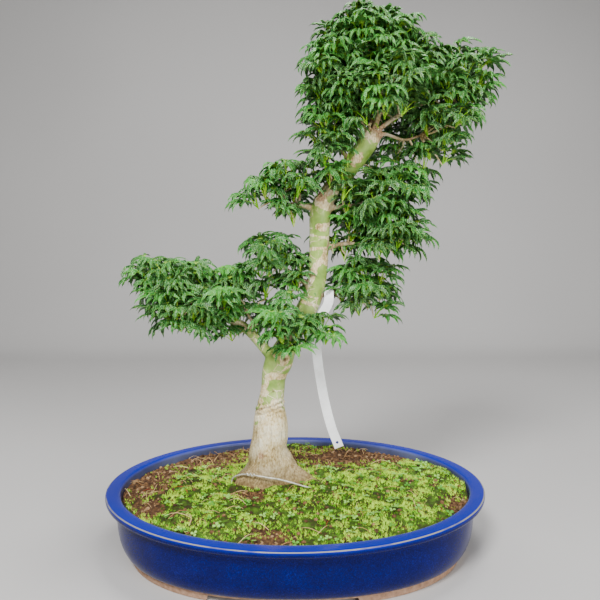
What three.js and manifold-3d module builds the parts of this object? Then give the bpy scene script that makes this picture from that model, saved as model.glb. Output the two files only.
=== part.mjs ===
// A lion's-mane Japanese maple grown as a bonsai in a shallow oval glazed pot.
// Millimetres, +Z up, +X to the right, +Y to the back. The origin is under the pot's centre,
// on the plane that its feet stand on.
import * as THREE from "three";
import { mergeVertices } from "three/addons/utils/BufferGeometryUtils.js";
import Module from "manifold-3d";

const wasm = await Module();
wasm.setup();

// Driving dimensions
const GAP = 0.4; // clearance between neighbouring pieces
const SOCKET_GAP = 0.8; // and round the wood, where it stands in soil, moss and foliage
const FLATNESS = 0.1; // how far a surface may move when needless edges are taken out of it
const POT_LENGTH = 530;
const POT_WIDTH = 422;
const POT_HEIGHT = 82;
const POT_SIDES = 32;
const RIM_WIDTH = 20;
const FOOT_HEIGHT = 11;
const FLOOR_TOP = 19;
const WALL_FOOT = 22;
const SQUARENESS = { rim: 2, feet: 2.3 }; // the oval's exponent: 2 is an ellipse
const ARCH = { centre: -14, halfWidth: 93, height: 7.5, slope: 5 };
const DRAIN = { x: 115, radius: 12, sides: 16 };
const SCREEN = { side: 44, thickness: 1, openings: 3, bar: 3.2 };

const SOIL = { edge: 69, crown: 11, inset: 23, lump: 1.6, lumpSize: 21 };
const MOSS = { thickness: 5.5, inset: 27, from: 40, lump: 1.1, lumpSize: 13, bareness: 2.1 };
// Bare patches in the moss: centre x, y and half sizes.
const BARE_PATCHES = [
  [-222, 15, 46, 75],
  [-140, 128, 95, 62],
  [62, 112, 78, 52],
  [172, 146, 84, 40],
  [-30, -160, 27, 22],
  [226, -70, 26, 34],
  [-190, -82, 20, 22],
  [-60, -50, 24, 16],
];

const TRUNK_SIDES = 14;
const SOIL_AT_TRUNK = 80;
const FLARE_TOP = 118; // the root flare's swellings fade out at this height
// Swellings of the root flare: direction in degrees, share of the radius, half width in degrees.
const ROOT_SWELLINGS = [
  [232, 0.16, 26],
  [338, 0.3, 24],
  [285, -0.08, 22],
  [165, 0.2, 30],
  [75, 0.18, 34],
];

const WIRE_RADIUS = 1;
const LABEL = {
  width: 13,
  thickness: 0.8,
  loopRadius: 11.4,
  loopX: 48,
  loopY: -4,
  hangsFrom: 356.2, // the top of the branch in the loop
  holeRadius: 1.6,
  holeAt: 0.975, // how far down the strip
  steps: 12,
};

const LEAF = { reach: 32, thickness: 1.6, droop: 0.62, droopPower: 1.7 };
const CORE = { share: 0.42, lump: 0.3, neckRadius: 8 }; // share of a puff's radii, unevenness
const STALK_ROOT_SHARE = 0.26; // how far out of its puff's middle a leaf stalk is rooted

const TAU = 2 * Math.PI;
const radians = (degrees) => (degrees * Math.PI) / 180;
const point = (x, y, z) => new THREE.Vector3(x, y, z);

function seededRandom(seed) {
  let state = seed >>> 0;
  return () => {
    state = (state + 0x6d2b79f5) >>> 0;
    let t = Math.imul(state ^ (state >>> 15), 1 | state);
    t = (t + Math.imul(t ^ (t >>> 7), 61 | t)) ^ t;
    return ((t ^ (t >>> 14)) >>> 0) / 4294967296;
  };
}

// Solids and meshes

function solidFromArrays(vertProperties, triVerts) {
  return new wasm.Manifold(new wasm.Mesh({ numProp: 3, vertProperties, triVerts }));
}

function solidFromGeometry(geometry) {
  geometry.deleteAttribute("normal");
  geometry.deleteAttribute("uv");
  const merged = mergeVertices(geometry, 1e-4);
  return solidFromArrays(merged.attributes.position.array, new Uint32Array(merged.index.array));
}

// A closed solid through rings of equal counts, which turn counterclockwise about the way that
// they follow each other. Both ends are closed by a fan.
function loft(rings) {
  const count = rings[0].length;
  const points = rings.flat();
  const triangles = [];
  for (let r = 0; r + 1 < rings.length; r++) {
    for (let i = 0; i < count; i++) {
      const a = r * count + i;
      const b = r * count + ((i + 1) % count);
      triangles.push(a, b, b + count, a, b + count, a + count);
    }
  }
  const middle = (ring) =>
    ring.reduce((sum, p) => sum.add(p), point(0, 0, 0)).divideScalar(ring.length);
  const last = (rings.length - 1) * count;
  const startCentre = points.push(middle(rings[0])) - 1;
  const endCentre = points.push(middle(rings.at(-1))) - 1;
  for (let i = 0; i < count; i++) {
    const j = (i + 1) % count;
    triangles.push(startCentre, j, i, endCentre, last + i, last + j);
  }
  return solidFromArrays(
    new Float32Array(points.flatMap((p) => [p.x, p.y, p.z])),
    new Uint32Array(triangles),
  );
}

function largestBody(solid) {
  return solid.decompose().reduce((best, s) => (s.volume() > best.volume() ? s : best));
}

const withoutNeedlessEdges = (solid) => largestBody(solid.asOriginal().simplify(FLATNESS));

function meshFromSolid(name, solid, material) {
  const { numProp, vertProperties, triVerts } = solid.getMesh();
  const geometry = new THREE.BufferGeometry();
  const buffer = new THREE.InterleavedBuffer(vertProperties, numProp);
  geometry.setAttribute("position", new THREE.InterleavedBufferAttribute(buffer, 3, 0));
  geometry.setIndex(new THREE.BufferAttribute(triVerts, 1));
  const mesh = new THREE.Mesh(geometry.toNonIndexed(), material);
  mesh.name = name;
  mesh.geometry.computeVertexNormals();
  return mesh;
}

const finish = (color, roughness, metalness = 0) =>
  new THREE.MeshStandardMaterial({ color, roughness, metalness });

// The pot

// The pot's plan is an ellipse at the rim and grows a little squarer towards the feet.
function ovalPoint(angle, inset, z) {
  const { rim, feet } = SQUARENESS;
  const power = 2 / (feet + ((rim - feet) * z) / POT_HEIGHT);
  const along = Math.cos(angle);
  const across = Math.sin(angle);
  return point(
    (POT_LENGTH / 2 - inset) * Math.sign(along) * Math.abs(along) ** power,
    (POT_WIDTH / 2 - inset) * Math.sign(across) * Math.abs(across) ** power,
    z,
  );
}

function ovalRing(inset, z) {
  return Array.from({ length: POT_SIDES }, (_, i) => ovalPoint((i * TAU) / POT_SIDES, inset, z));
}

// Inset from the rim's outer edge and height, from under the floor round the outside and back in.
const POT_PROFILE = [
  [47, FOOT_HEIGHT],
  [45, 0],
  [35, 0],
  [34, FOOT_HEIGHT - 1],
  [30, FOOT_HEIGHT],
  [23, 20],
  [18, 34],
  [16, 56],
  [14.5, 67],
  [6, 72.5],
  [0, 76],
  [1, POT_HEIGHT - 1.5],
  [6, POT_HEIGHT],
  [RIM_WIDTH - 2, POT_HEIGHT],
  [RIM_WIDTH + 1, POT_HEIGHT - 3],
  [25, 40],
  [31, 25],
  [42, FLOOR_TOP],
];

function footArch() {
  const top = ARCH.halfWidth - ARCH.slope;
  const outline = new THREE.Shape();
  outline.moveTo(-ARCH.halfWidth, -1);
  outline.lineTo(ARCH.halfWidth, -1);
  outline.lineTo(top, ARCH.height);
  outline.lineTo(-top, ARCH.height);
  const arch = new THREE.ExtrudeGeometry(outline, { depth: POT_WIDTH, bevelEnabled: false });
  arch.rotateX(Math.PI / 2);
  arch.translate(ARCH.centre, POT_WIDTH / 2, 0);
  return solidFromGeometry(arch);
}

function drainHole(x) {
  const height = FLOOR_TOP + 2;
  const hole = new THREE.CylinderGeometry(DRAIN.radius, DRAIN.radius, height, DRAIN.sides);
  hole.rotateX(Math.PI / 2);
  hole.translate(x, 0, FLOOR_TOP / 2);
  return solidFromGeometry(hole);
}

// The pot's wall from just above the floor, and its base: the floor with the foot ring under it.
function potSolids() {
  const body = loft(POT_PROFILE.map(([inset, z]) => ovalRing(inset, z)));
  const cut = body.subtract(footArch());
  const pot = cut.subtract(drainHole(-DRAIN.x)).subtract(drainHole(DRAIN.x));
  return pot.splitByPlane([0, 0, 1], WALL_FOOT).map(withoutNeedlessEdges);
}

// A square of plastic mesh on the pot's floor, over a drain hole: bars both ways.
function drainScreen(x) {
  const { side, thickness, openings, bar } = SCREEN;
  const pitch = (side - bar) / openings;
  const bars = Array.from({ length: openings + 1 }, (_, i) => {
    const along = new THREE.BoxGeometry(side, bar, thickness);
    along.translate(0, (i - openings / 2) * pitch, 0);
    const across = along.clone().rotateZ(Math.PI / 2);
    return solidFromGeometry(along).add(solidFromGeometry(across));
  });
  const screen = withoutNeedlessEdges(bars.reduce((sum, pair) => sum.add(pair)));
  return screen.translate([x, 0, FLOOR_TOP + GAP + thickness / 2]);
}

function screenRoom(x) {
  const side = SCREEN.side + 2 * GAP;
  const height = SCREEN.thickness + 2 * GAP;
  const room = new THREE.BoxGeometry(side, side, height);
  room.translate(x, 0, FLOOR_TOP + height / 2);
  return solidFromGeometry(room);
}

// Soil and moss

const lumps = (x, y, scale) =>
  Math.sin(x / scale + 1.3) * Math.cos(y / (0.8 * scale)) +
  0.6 * Math.sin((x + 1.7 * y) / (0.55 * scale));

function soilTop(x, y) {
  const share = (2 * x) ** 2 / POT_LENGTH ** 2 + (2 * y) ** 2 / POT_WIDTH ** 2;
  const dome = SOIL.crown * Math.max(0, 1 - share);
  return SOIL.edge + dome + SOIL.lump * lumps(x, y, SOIL.lumpSize);
}

// How far the moss stands above the soil: below zero where the soil is bare.
function mossRise(x, y) {
  const bare = BARE_PATCHES.reduce(
    (sum, [px, py, rx, ry]) => sum + Math.exp(-(((x - px) / rx) ** 2) - ((y - py) / ry) ** 2),
    0,
  );
  return MOSS.thickness * (1 - MOSS.bareness * bare) + MOSS.lump * lumps(x, y, MOSS.lumpSize);
}

// Rings over the ground inside the pot, from its wall to the middle.
const GROUND_SHARES = [1, 0.84, 0.64, 0.42, 0.18];

function groundRings(height) {
  return GROUND_SHARES.map((share) =>
    Array.from({ length: POT_SIDES }, (_, i) => {
      const edge = ovalPoint((i * TAU) / POT_SIDES, SOIL.inset, POT_HEIGHT);
      const x = edge.x * share;
      const y = edge.y * share;
      return point(x, y, height(x, y));
    }),
  );
}

// The soil follows the pot's inside: inset and height, from the floor up.
const SOIL_PROFILE = [
  [43, FLOOR_TOP + GAP],
  [32, 25.6],
  [26, 40],
];

function soilBlock(rise) {
  const wall = SOIL_PROFILE.map(([inset, z]) => ovalRing(inset, z));
  return loft([...wall, ...groundRings((x, y) => soilTop(x, y) + rise)]);
}

function soilSolid(wood, wire) {
  const block = soilBlock(0).subtract(wood).subtract(wire);
  const soil = block.subtract(screenRoom(-DRAIN.x)).subtract(screenRoom(DRAIN.x));
  return withoutNeedlessEdges(soil);
}

function mossSolid(wood, wire) {
  const top = groundRings((x, y) => soilTop(x, y) + mossRise(x, y));
  const block = loft([ovalRing(MOSS.inset, MOSS.from), ...top]);
  return withoutNeedlessEdges(block.subtract(soilBlock(GAP)).subtract(wood).subtract(wire));
}

// Trunk and branches

// Centre x, y, z and half widths across and along the view, from the root plug to the old cut.
const TRUNK = [
  [-35, 8, 54, 47, 40],
  [-35, 8, SOIL_AT_TRUNK, 47, 40],
  [-35, 8, 88, 42, 36.5],
  [-35, 8, 97, 37, 33.5],
  [-36, 8, 108, 33, 31],
  [-38, 7, 120, 29.3, 28],
  [-38, 7, 132, 26.2, 26],
  [-36, 6, 146, 25.2, 24.8],
  [-35, 5, 162, 24.8, 24.4],
  [-35, 4, 176, 23, 22.6],
  [-34.5, 3, 190, 19.8, 20],
  [-32.5, 2, 208, 17.3, 18],
  [-30, 0, 229, 16.7, 17.4],
  [-28, -1, 242, 18, 17.8],
  [-22, -2, 256, 19.5, 18],
  [-12, -3, 278, 15.6, 15.8],
  [-1, -5, 301, 14.8, 15],
  [15, -7, 326, 15, 14.8],
  [26, -9, 350, 14, 14],
  [31.5, -11, 372, 12.8, 13],
  [33.5, -13, 392, 13, 13],
  [35, -16, 430, 13.5, 13.5],
  [36, -19, 460, 14.4, 14],
  [39.5, -21, 484, 10.6, 11],
];

// Each limb's stations: x, y, z and radius, the first one inside what it grows from.
const LIMBS = [
  // leader with its cut top
  [[37, -20, 458, 11], [44, -22, 482, 12.4], [57, -23, 501, 12.2], [74, -25, 520, 12.6],
    [90, -28, 541, 13.4], [101, -30, 557, 13.4], [106, -31, 568, 12.6]],
  // low left branch and its side twigs
  [[-22, -1, 252, 10], [-38, 0, 269, 7.8], [-56, 1, 290, 7.2], [-72, 2, 305, 7],
    [-92, 3, 315, 5.8], [-118, 3, 326, 4.8], [-150, 0, 345, 3.2]],
  [[-60, 1, 294, 4], [-58, -3, 308, 2.9], [-66, -8, 326, 2.2]],
  [[-96, 3, 317, 3.6], [-112, -16, 330, 2.6], [-128, -34, 342, 2]],
  [[-88, 3, 314, 3.6], [-98, 22, 328, 2.6], [-112, 38, 340, 2]],
  // lower centre, in front of the trunk
  [[-12, -12, 286, 4.2], [-14, -30, 295, 3], [-10, -46, 306, 2.2]],
  // tuft beside the label
  [[2, -12, 301, 4], [22, -27, 300, 2.6], [40, -36, 304, 2]],
  // lower right, which carries the label
  [[24, -9, 344, 5], [40, -5, 350, 3.4], [56, -2, 353, 3], [76, 0, 361, 2.8], [96, 2, 367, 2.2]],
  // middle left
  [[26, -10, 358, 5], [10, -9, 371, 3.5], [-8, -7, 384, 3], [-26, -5, 393, 2.2]],
  // middle right, below and above
  [[33, -15, 411, 5.4], [52, -12, 417, 3.7], [74, -11, 421, 3.3], [100, -13, 420, 2.8],
    [118, -15, 432, 2.2]],
  [[36, -20, 462, 5], [60, -24, 470, 3.2], [84, -22, 472, 2.8], [108, -20, 480, 2.2]],
  // upper left with its upright spurs
  [[35, -20, 466, 5.6], [12, -21, 473, 4.2], [-10, -22, 473, 3.6], [-28, -24, 476, 2.8],
    [-40, -25, 486, 2.2]],
  [[-12, -22, 473, 2.8], [-14, -23, 488, 2]],
  [[6, -21, 473, 2.6], [10, -25, 492, 1.9]],
  [[42, -24, 486, 4], [46, -40, 494, 2.6], [50, -48, 504, 2]],
  // from the cut top: right, up right, up, left, front and back
  [[104, -31, 561, 5], [122, -34, 564, 3.2], [146, -36, 556, 2.7], [168, -34, 562, 2.2]],
  [[104, -31, 563, 5.4], [124, -35, 578, 4], [150, -38, 594, 3.4], [182, -40, 606, 2.8],
    [210, -42, 620, 2.2]],
  [[105, -31, 563, 5], [104, -36, 590, 3.8], [100, -40, 622, 3], [96, -40, 646, 2.2]],
  [[101, -30, 562, 4.6], [86, -33, 586, 3.4], [66, -38, 612, 2.8], [54, -40, 628, 2.2]],
  [[80, -26, 528, 3.4], [62, -36, 544, 2.6], [50, -40, 562, 2]],
  [[105, -32, 563, 4.6], [112, -54, 590, 3.2], [112, -66, 608, 2.4]],
  [[106, -28, 563, 4.6], [112, -6, 590, 3.2], [110, 14, 612, 2.4]],
];

// A rounded solid through stations, with its rings square to its run. section gives a ring's
// reach at an angle, and grow is added all round and past both ends.
function limb(stations, sides, section, grow) {
  const centres = stations.map(([x, y, z]) => point(x, y, z));
  const runs = centres.map((_, i) => {
    const before = centres[Math.max(i - 1, 0)];
    const after = centres[Math.min(i + 1, centres.length - 1)];
    return after.clone().sub(before).normalize();
  });
  centres[0].addScaledVector(runs[0], -grow);
  centres.at(-1).addScaledVector(runs.at(-1), grow);
  let side = point(0, 1, 0).cross(runs[0]);
  if (side.length() < 0.2) side = point(1, 0, 0).cross(runs[0]);
  return loft(
    centres.map((centre, i) => {
      side.addScaledVector(runs[i], -side.dot(runs[i])).normalize();
      const across = runs[i].clone().cross(side);
      const ring = [];
      for (let k = 0; k < sides; k++) {
        const angle = (k * TAU) / sides;
        const [reachSide, reachAcross] = section(stations[i], angle);
        ring.push(
          centre
            .clone()
            .addScaledVector(side, (reachSide + grow) * Math.cos(angle))
            .addScaledVector(across, (reachAcross + grow) * Math.sin(angle)),
        );
      }
      return ring;
    }),
  );
}

function swelling(angle, z) {
  const fade = Math.min(1, Math.max(0, (FLARE_TOP - z) / (FLARE_TOP - SOIL_AT_TRUNK)));
  const sum = ROOT_SWELLINGS.reduce((total, [direction, share, spread]) => {
    const off = Math.abs(((angle - radians(direction) + 3 * Math.PI) % TAU) - Math.PI);
    return total + share * Math.exp(-((off / radians(spread)) ** 2));
  }, 0);
  return 1 + fade * sum;
}

const trunkSection = ([, , z, across, along], angle) => {
  const share = swelling(angle, z);
  return [across * share, along * share];
};

const branchSection = ([, , , radius]) => [radius, radius];

const limbSides = (radius) => (radius > 7 ? 8 : radius > 4.5 ? 6 : 4);

function woodSolid(grow) {
  const trunk = limb(TRUNK, TRUNK_SIDES, trunkSection, grow);
  return LIMBS.reduce((sum, stations) => {
    return sum.add(limb(stations, limbSides(stations[0][3]), branchSection, grow));
  }, trunk);
}

// Tie-down wire: a low arch round the front of the root flare, its ends down in the soil.
function wireSolid(grow) {
  const clear = WIRE_RADIUS + 2;
  const onFlare = (degrees, z) => {
    const angle = radians(degrees);
    const level = TRUNK.findLastIndex((station) => station[2] <= z);
    const share = (z - TRUNK[level][2]) / (TRUNK[level + 1][2] - TRUNK[level][2]);
    const mix = TRUNK[level].map((value, i) => value + share * (TRUNK[level + 1][i] - value));
    const [across, along] = trunkSection(mix, angle);
    return point(
      mix[0] + (across + clear) * Math.cos(angle),
      mix[1] + (along + clear) * Math.sin(angle),
      z,
    );
  };
  const leftEnd = onFlare(180, SOIL_AT_TRUNK);
  const rightEnd = onFlare(325, SOIL_AT_TRUNK);
  const route = new THREE.CatmullRomCurve3(
    [
      leftEnd.clone().add(point(-4, 2, -16)),
      leftEnd,
      onFlare(195, 88),
      onFlare(212, 93),
      onFlare(228, 95),
      onFlare(244, 95),
      onFlare(260, 93.5),
      onFlare(276, 91.5),
      onFlare(292, 89),
      onFlare(307, 86.5),
      rightEnd.clone().add(point(0, -1, 3)),
      rightEnd.clone().add(point(14, -3, 0)),
      rightEnd.clone().add(point(18, -4, -14)),
    ],
    false,
    "centripetal",
  );
  const section = new THREE.Shape();
  section.absarc(0, 0, WIRE_RADIUS + grow, 0, TAU);
  return solidFromGeometry(
    new THREE.ExtrudeGeometry(section, {
      steps: 28,
      curveSegments: 3,
      extrudePath: route,
      bevelEnabled: false,
    }),
  );
}

// Loop label: a band round the lower right branch, its end hanging down beside the trunk.

// Middle line of the hanging strip: x and z.
const LABEL_LINE = [
  [LABEL.loopX, 347],
  [46, 337],
  [38, 322],
  [32, 300],
  [31, 272],
  [35, 238],
  [42, 200],
  [51, 165],
  [62, 136],
];

function labelSolid() {
  const outer = LABEL.loopRadius + LABEL.thickness;
  const centreZ = LABEL.hangsFrom + GAP - LABEL.loopRadius;
  const front = LABEL.loopY - outer;
  const band = new THREE.Shape();
  band.absarc(0, 0, outer, 0, TAU);
  band.holes.push(new THREE.Path().absarc(0, 0, LABEL.loopRadius, 0, TAU));
  const loop = new THREE.ExtrudeGeometry(band, {
    depth: LABEL.width,
    curveSegments: 8,
    bevelEnabled: false,
  });
  loop.rotateY(Math.PI / 2);
  loop.translate(LABEL.loopX - LABEL.width / 2, LABEL.loopY, centreZ);

  const line = new THREE.SplineCurve(LABEL_LINE.map(([x, z]) => new THREE.Vector2(x, z)));
  const half = LABEL.width / 2;
  const middles = line.getPoints(LABEL.steps);
  const edge = (side) =>
    middles.map((middle, i) => {
      const run = line.getTangent(i / (middles.length - 1));
      return middle.clone().add(new THREE.Vector2(-run.y, run.x).multiplyScalar(side * half));
    });
  const outline = new THREE.Shape([...edge(1), ...edge(-1).reverse()]);
  const end = line.getPoint(LABEL.holeAt);
  outline.holes.push(new THREE.Path().absarc(end.x, end.y, LABEL.holeRadius, 0, TAU));
  const strip = new THREE.ExtrudeGeometry(outline, {
    depth: LABEL.thickness,
    curveSegments: 5,
    bevelEnabled: false,
  });
  strip.rotateX(Math.PI / 2);
  strip.translate(0, front + LABEL.thickness, 0);
  return solidFromGeometry(loop).add(solidFromGeometry(strip));
}

// Foliage

// A five-lobed leaf, thick at its ribs and sharp at its outline, that droops from its middle.
// Lobe direction in degrees, reach and half width. A lobe with no width is a plain spear.
const LOBES = [
  [-116, 0.62, 0],
  [-58, 0.88, 0.15],
  [0, 1, 0.16],
  [58, 0.88, 0.15],
  [116, 0.62, 0],
];
const RIB_TOP = 0.55; // where a lobe's rib is highest, as a share of its reach
const WIDEST = 0.5; // and where the lobe is widest
const NOTCH_REACH = 0.25; // from the leaf's middle to the notch between two lobes
const STALK_REACH = 0.1; // and to the two sides of the stalk at the leaf's back
const STALK_HALF_WIDTH = 0.045;

// The stalk runs from the back of the leaf down to its root, where it is thinnest.
function leafSolid(centre, up, ahead, size, root) {
  const side = up.clone().cross(ahead).normalize();
  const front = side.clone().cross(up).normalize();
  const place = (reach, degrees, across, lift) => {
    const angle = radians(degrees);
    const along = reach * Math.cos(angle) - across * Math.sin(angle);
    const wide = reach * Math.sin(angle) + across * Math.cos(angle);
    const fall = LEAF.droop * reach ** LEAF.droopPower;
    return centre
      .clone()
      .addScaledVector(front, along * size)
      .addScaledVector(side, wide * size)
      .addScaledVector(up, lift - fall * size);
  };
  const half = LEAF.thickness / 2;
  const points = [];
  const triangles = [];
  const addPoint = (p) => points.push(p) - 1;
  const top = addPoint(place(0, 0, 0, half));
  const bottom = addPoint(place(0, 0, 0, -half));
  const stalkRoot = addPoint(root);
  const stalkLeft = addPoint(place(STALK_REACH, 180, -STALK_HALF_WIDTH, 0));
  const stalkRight = addPoint(place(STALK_REACH, 180, STALK_HALF_WIDTH, 0));
  const notches = LOBES.slice(1).map(([direction], i) =>
    addPoint(place(NOTCH_REACH, (LOBES[i][0] + direction) / 2, 0, -half)),
  );
  LOBES.forEach(([direction, reach, width], i) => {
    const rib = addPoint(place(reach * RIB_TOP, direction, 0, half));
    const outline = [notches[i - 1] ?? stalkRight];
    if (width) outline.push(addPoint(place(reach * WIDEST, direction, -width, -half)));
    outline.push(addPoint(place(reach, direction, 0, -half)));
    if (width) outline.push(addPoint(place(reach * WIDEST, direction, width, -half)));
    outline.push(notches[i] ?? stalkLeft);
    for (let k = 0; k + 1 < outline.length; k++) {
      triangles.push(rib, outline[k], outline[k + 1], bottom, outline[k + 1], outline[k]);
    }
    triangles.push(top, outline[0], rib, top, rib, outline.at(-1));
  });
  triangles.push(top, stalkLeft, stalkRoot, top, stalkRoot, stalkRight);
  triangles.push(bottom, stalkRoot, stalkLeft, bottom, stalkRight, stalkRoot);
  return solidFromArrays(
    new Float32Array(points.flatMap((p) => [p.x, p.y, p.z])),
    new Uint32Array(triangles),
  );
}

// Each pad's puffs: centre x, y, z and radii. Its leaves are shared out by the puffs' areas.
const PADS = [
  {
    name: "foliage_apex",
    leaves: 49,
    seed: 11,
    puffs: [
      [94, -40, 692, 78, 64, 52],
      [162, -34, 668, 44, 48, 44],
      [44, -40, 640, 52, 58, 54],
      [110, -62, 624, 64, 54, 56],
      [110, 2, 630, 68, 60, 58],
      [42, -42, 582, 42, 42, 38],
    ],
  },
  {
    name: "foliage_top_right",
    leaves: 29,
    seed: 12,
    puffs: [
      [198, -40, 612, 44, 48, 44],
      [232, -42, 636, 36, 40, 38],
      [178, -32, 560, 36, 40, 50],
      [140, -8, 542, 30, 32, 30],
    ],
  },
  {
    name: "foliage_upper_left",
    leaves: 19,
    seed: 13,
    puffs: [
      [-44, -27, 497, 42, 40, 28],
      [0, -27, 511, 42, 42, 29],
      [48, -52, 519, 34, 26, 24],
    ],
  },
  {
    name: "foliage_mid_right",
    leaves: 24,
    seed: 14,
    puffs: [
      [126, -22, 488, 56, 50, 33],
      [128, -18, 442, 52, 46, 36],
      [78, 14, 462, 28, 30, 32],
    ],
  },
  {
    name: "foliage_lower_right",
    leaves: 12,
    seed: 15,
    puffs: [
      [110, 2, 373, 40, 40, 34],
      [74, 26, 376, 24, 26, 24],
    ],
  },
  {
    name: "foliage_mid_left",
    leaves: 13,
    seed: 16,
    puffs: [
      [-34, -4, 401, 44, 40, 30],
      [-4, -8, 388, 28, 30, 27],
    ],
  },
  {
    name: "foliage_lower_left",
    leaves: 33,
    seed: 17,
    puffs: [
      [-184, -4, 378, 56, 52, 32],
      [-152, -6, 341, 60, 58, 34],
      [-98, 0, 349, 52, 54, 32],
    ],
  },
  {
    name: "foliage_lower_centre",
    leaves: 8,
    seed: 18,
    puffs: [
      [-12, -56, 320, 38, 26, 27],
    ],
  },
  {
    name: "foliage_label_tuft",
    leaves: 7,
    seed: 19,
    puffs: [
      [40, -42, 314, 18, 17, 22],
    ],
  },
];

function puffArea([, , , rx, ry, rz]) {
  const power = 1.6;
  return ((rx * ry) ** power + (rx * rz) ** power + (ry * rz) ** power) ** (1 / power);
}

// A small uneven ball in a puff's middle, out of which its leaf stalks stand.
function puffCore([x, y, z, rx, ry, rz], random) {
  const ball = new THREE.IcosahedronGeometry(1, 0);
  ball.deleteAttribute("normal");
  ball.deleteAttribute("uv");
  const merged = mergeVertices(ball, 1e-4);
  const spots = merged.attributes.position;
  for (let i = 0; i < spots.count; i++) {
    const share = CORE.share * (1 + CORE.lump * (random() - 0.5));
    const spot = point(0, 0, 0).fromBufferAttribute(spots, i).multiplyScalar(share);
    spots.setXYZ(i, x + spot.x * rx, y + spot.y * ry, z + spot.z * rz);
  }
  return solidFromArrays(spots.array, new Uint32Array(merged.index.array));
}

function padCore(pad) {
  const random = seededRandom(pad.seed);
  const cores = pad.puffs.map((puff) => puffCore(puff, random));
  const necks = pad.puffs.slice(1).map((puff) => {
    const ends = [pad.puffs[0], puff].map(([x, y, z]) => [x, y, z, CORE.neckRadius]);
    return limb(ends, 4, branchSection, 0);
  });
  return [...cores, ...necks].reduce((sum, core) => sum.add(core));
}

const isInside = ([x, y, z, rx, ry, rz], p, share) =>
  ((p.x - x) / rx) ** 2 + ((p.y - y) / ry) ** 2 + ((p.z - z) / rz) ** 2 < share ** 2;

// Leaf places in two layers round each puff, none inside a neighbouring puff: share of the
// puff's radii, share of its leaves and how far down the layer goes, from 1 to -1.
const LAYERS = [
  { reach: 0.84, share: 1.4, lowest: -0.62 },
  { reach: 0.58, share: 0.6, lowest: -0.75 },
];
const REACH_SPREAD = 0.1;
const PUFF_EDGE = 0.84;
const GOLDEN_TURN = Math.PI * (3 - Math.sqrt(5));

function leafPlaces(pad, random) {
  const total = pad.puffs.reduce((sum, puff) => sum + puffArea(puff), 0);
  const places = [];
  for (const layer of LAYERS) {
    for (const puff of pad.puffs) {
      const [x, y, z, rx, ry, rz] = puff;
      const others = pad.puffs.filter((other) => other !== puff);
      const count = Math.round((pad.leaves * layer.share * puffArea(puff)) / total);
      for (let i = 0; i < count; i++) {
        const height = 1 - ((1 - layer.lowest) * (i + 0.5)) / count;
        const level = Math.sqrt(1 - height * height);
        const angle = i * GOLDEN_TURN + pad.seed;
        const out = point(level * Math.cos(angle), level * Math.sin(angle), height);
        const reach = layer.reach + REACH_SPREAD * random();
        const at = point(x + out.x * rx * reach, y + out.y * ry * reach, z + out.z * rz * reach);
        if (others.some((other) => isInside(other, at, PUFF_EDGE))) continue;
        places.push({ at, out, root: point(x, y, z).lerp(at, STALK_ROOT_SHARE) });
      }
    }
  }
  return places;
}

// A leaf faces out and up from its puff and hangs forward.
function leafAt({ at, out, root }, random) {
  const level = Math.atan2(out.y, out.x) + radians(63) * (random() - 0.5);
  const ahead = point(Math.cos(level), Math.sin(level), -0.25 - 0.3 * random());
  const up = point(0.75 * out.x, 0.75 * out.y, 0.75 + 0.5 * Math.max(0, out.z)).normalize();
  const size = LEAF.reach * (0.88 + 0.24 * random());
  return leafSolid(at, up, ahead, size, root);
}

// Each pad is its cores with the leaves that cross no other leaf, pad or label.
function foliage(wood, label) {
  const cores = PADS.map(padCore);
  const pads = [];
  PADS.forEach((pad, index) => {
    const random = seededRandom(pad.seed);
    const others = [label, ...cores.slice(index + 1), ...pads];
    const leaves = [];
    for (const place of leafPlaces(pad, random)) {
      const leaf = leafAt(place, random);
      const isClear = [...others, ...leaves].every((other) => leaf.intersect(other).isEmpty());
      if (isClear) leaves.push(leaf);
    }
    const solid = leaves.reduce((sum, leaf) => sum.add(leaf), cores[index]);
    pads.push(largestBody(solid.subtract(wood)));
  });
  return pads;
}

// Assembly

const bonsai = new THREE.Group();
const add = (name, solid, material) => bonsai.add(meshFromSolid(name, solid, material));

const woodClearance = woodSolid(SOCKET_GAP);
const wireClearance = wireSolid(GAP);
const label = labelSolid();
const [potWall, potBase] = potSolids();

add("pot_wall", potWall, finish(0x1c2f9e, 0.25));
add("pot_base", potBase, finish(0x1c2f9e, 0.25));
add("drain_screen_left", drainScreen(-DRAIN.x), finish(0x23262a, 0.6));
add("drain_screen_right", drainScreen(DRAIN.x), finish(0x23262a, 0.6));
add("soil", soilSolid(woodClearance, wireClearance), finish(0x4a3322, 0.95));
add("moss_carpet", mossSolid(woodClearance, wireClearance), finish(0x7d9c2b, 0.95));
add("trunk_and_branches", withoutNeedlessEdges(woodSolid(0)), finish(0x8f9068, 0.75));
add("tie_wire", wireSolid(0), finish(0xb9b7b0, 0.4, 0.9));
add("label_strip", label, finish(0xf2f2f0, 0.45));
foliage(woodClearance, label).forEach((solid, i) => {
  add(PADS[i].name, solid, finish(0x2f6a33, 0.5));
});

export default bonsai;
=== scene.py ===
import math
import random
from functools import partial

import bmesh
import bpy
import numpy as np
from mathutils import Matrix, Vector, kdtree, noise


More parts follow.
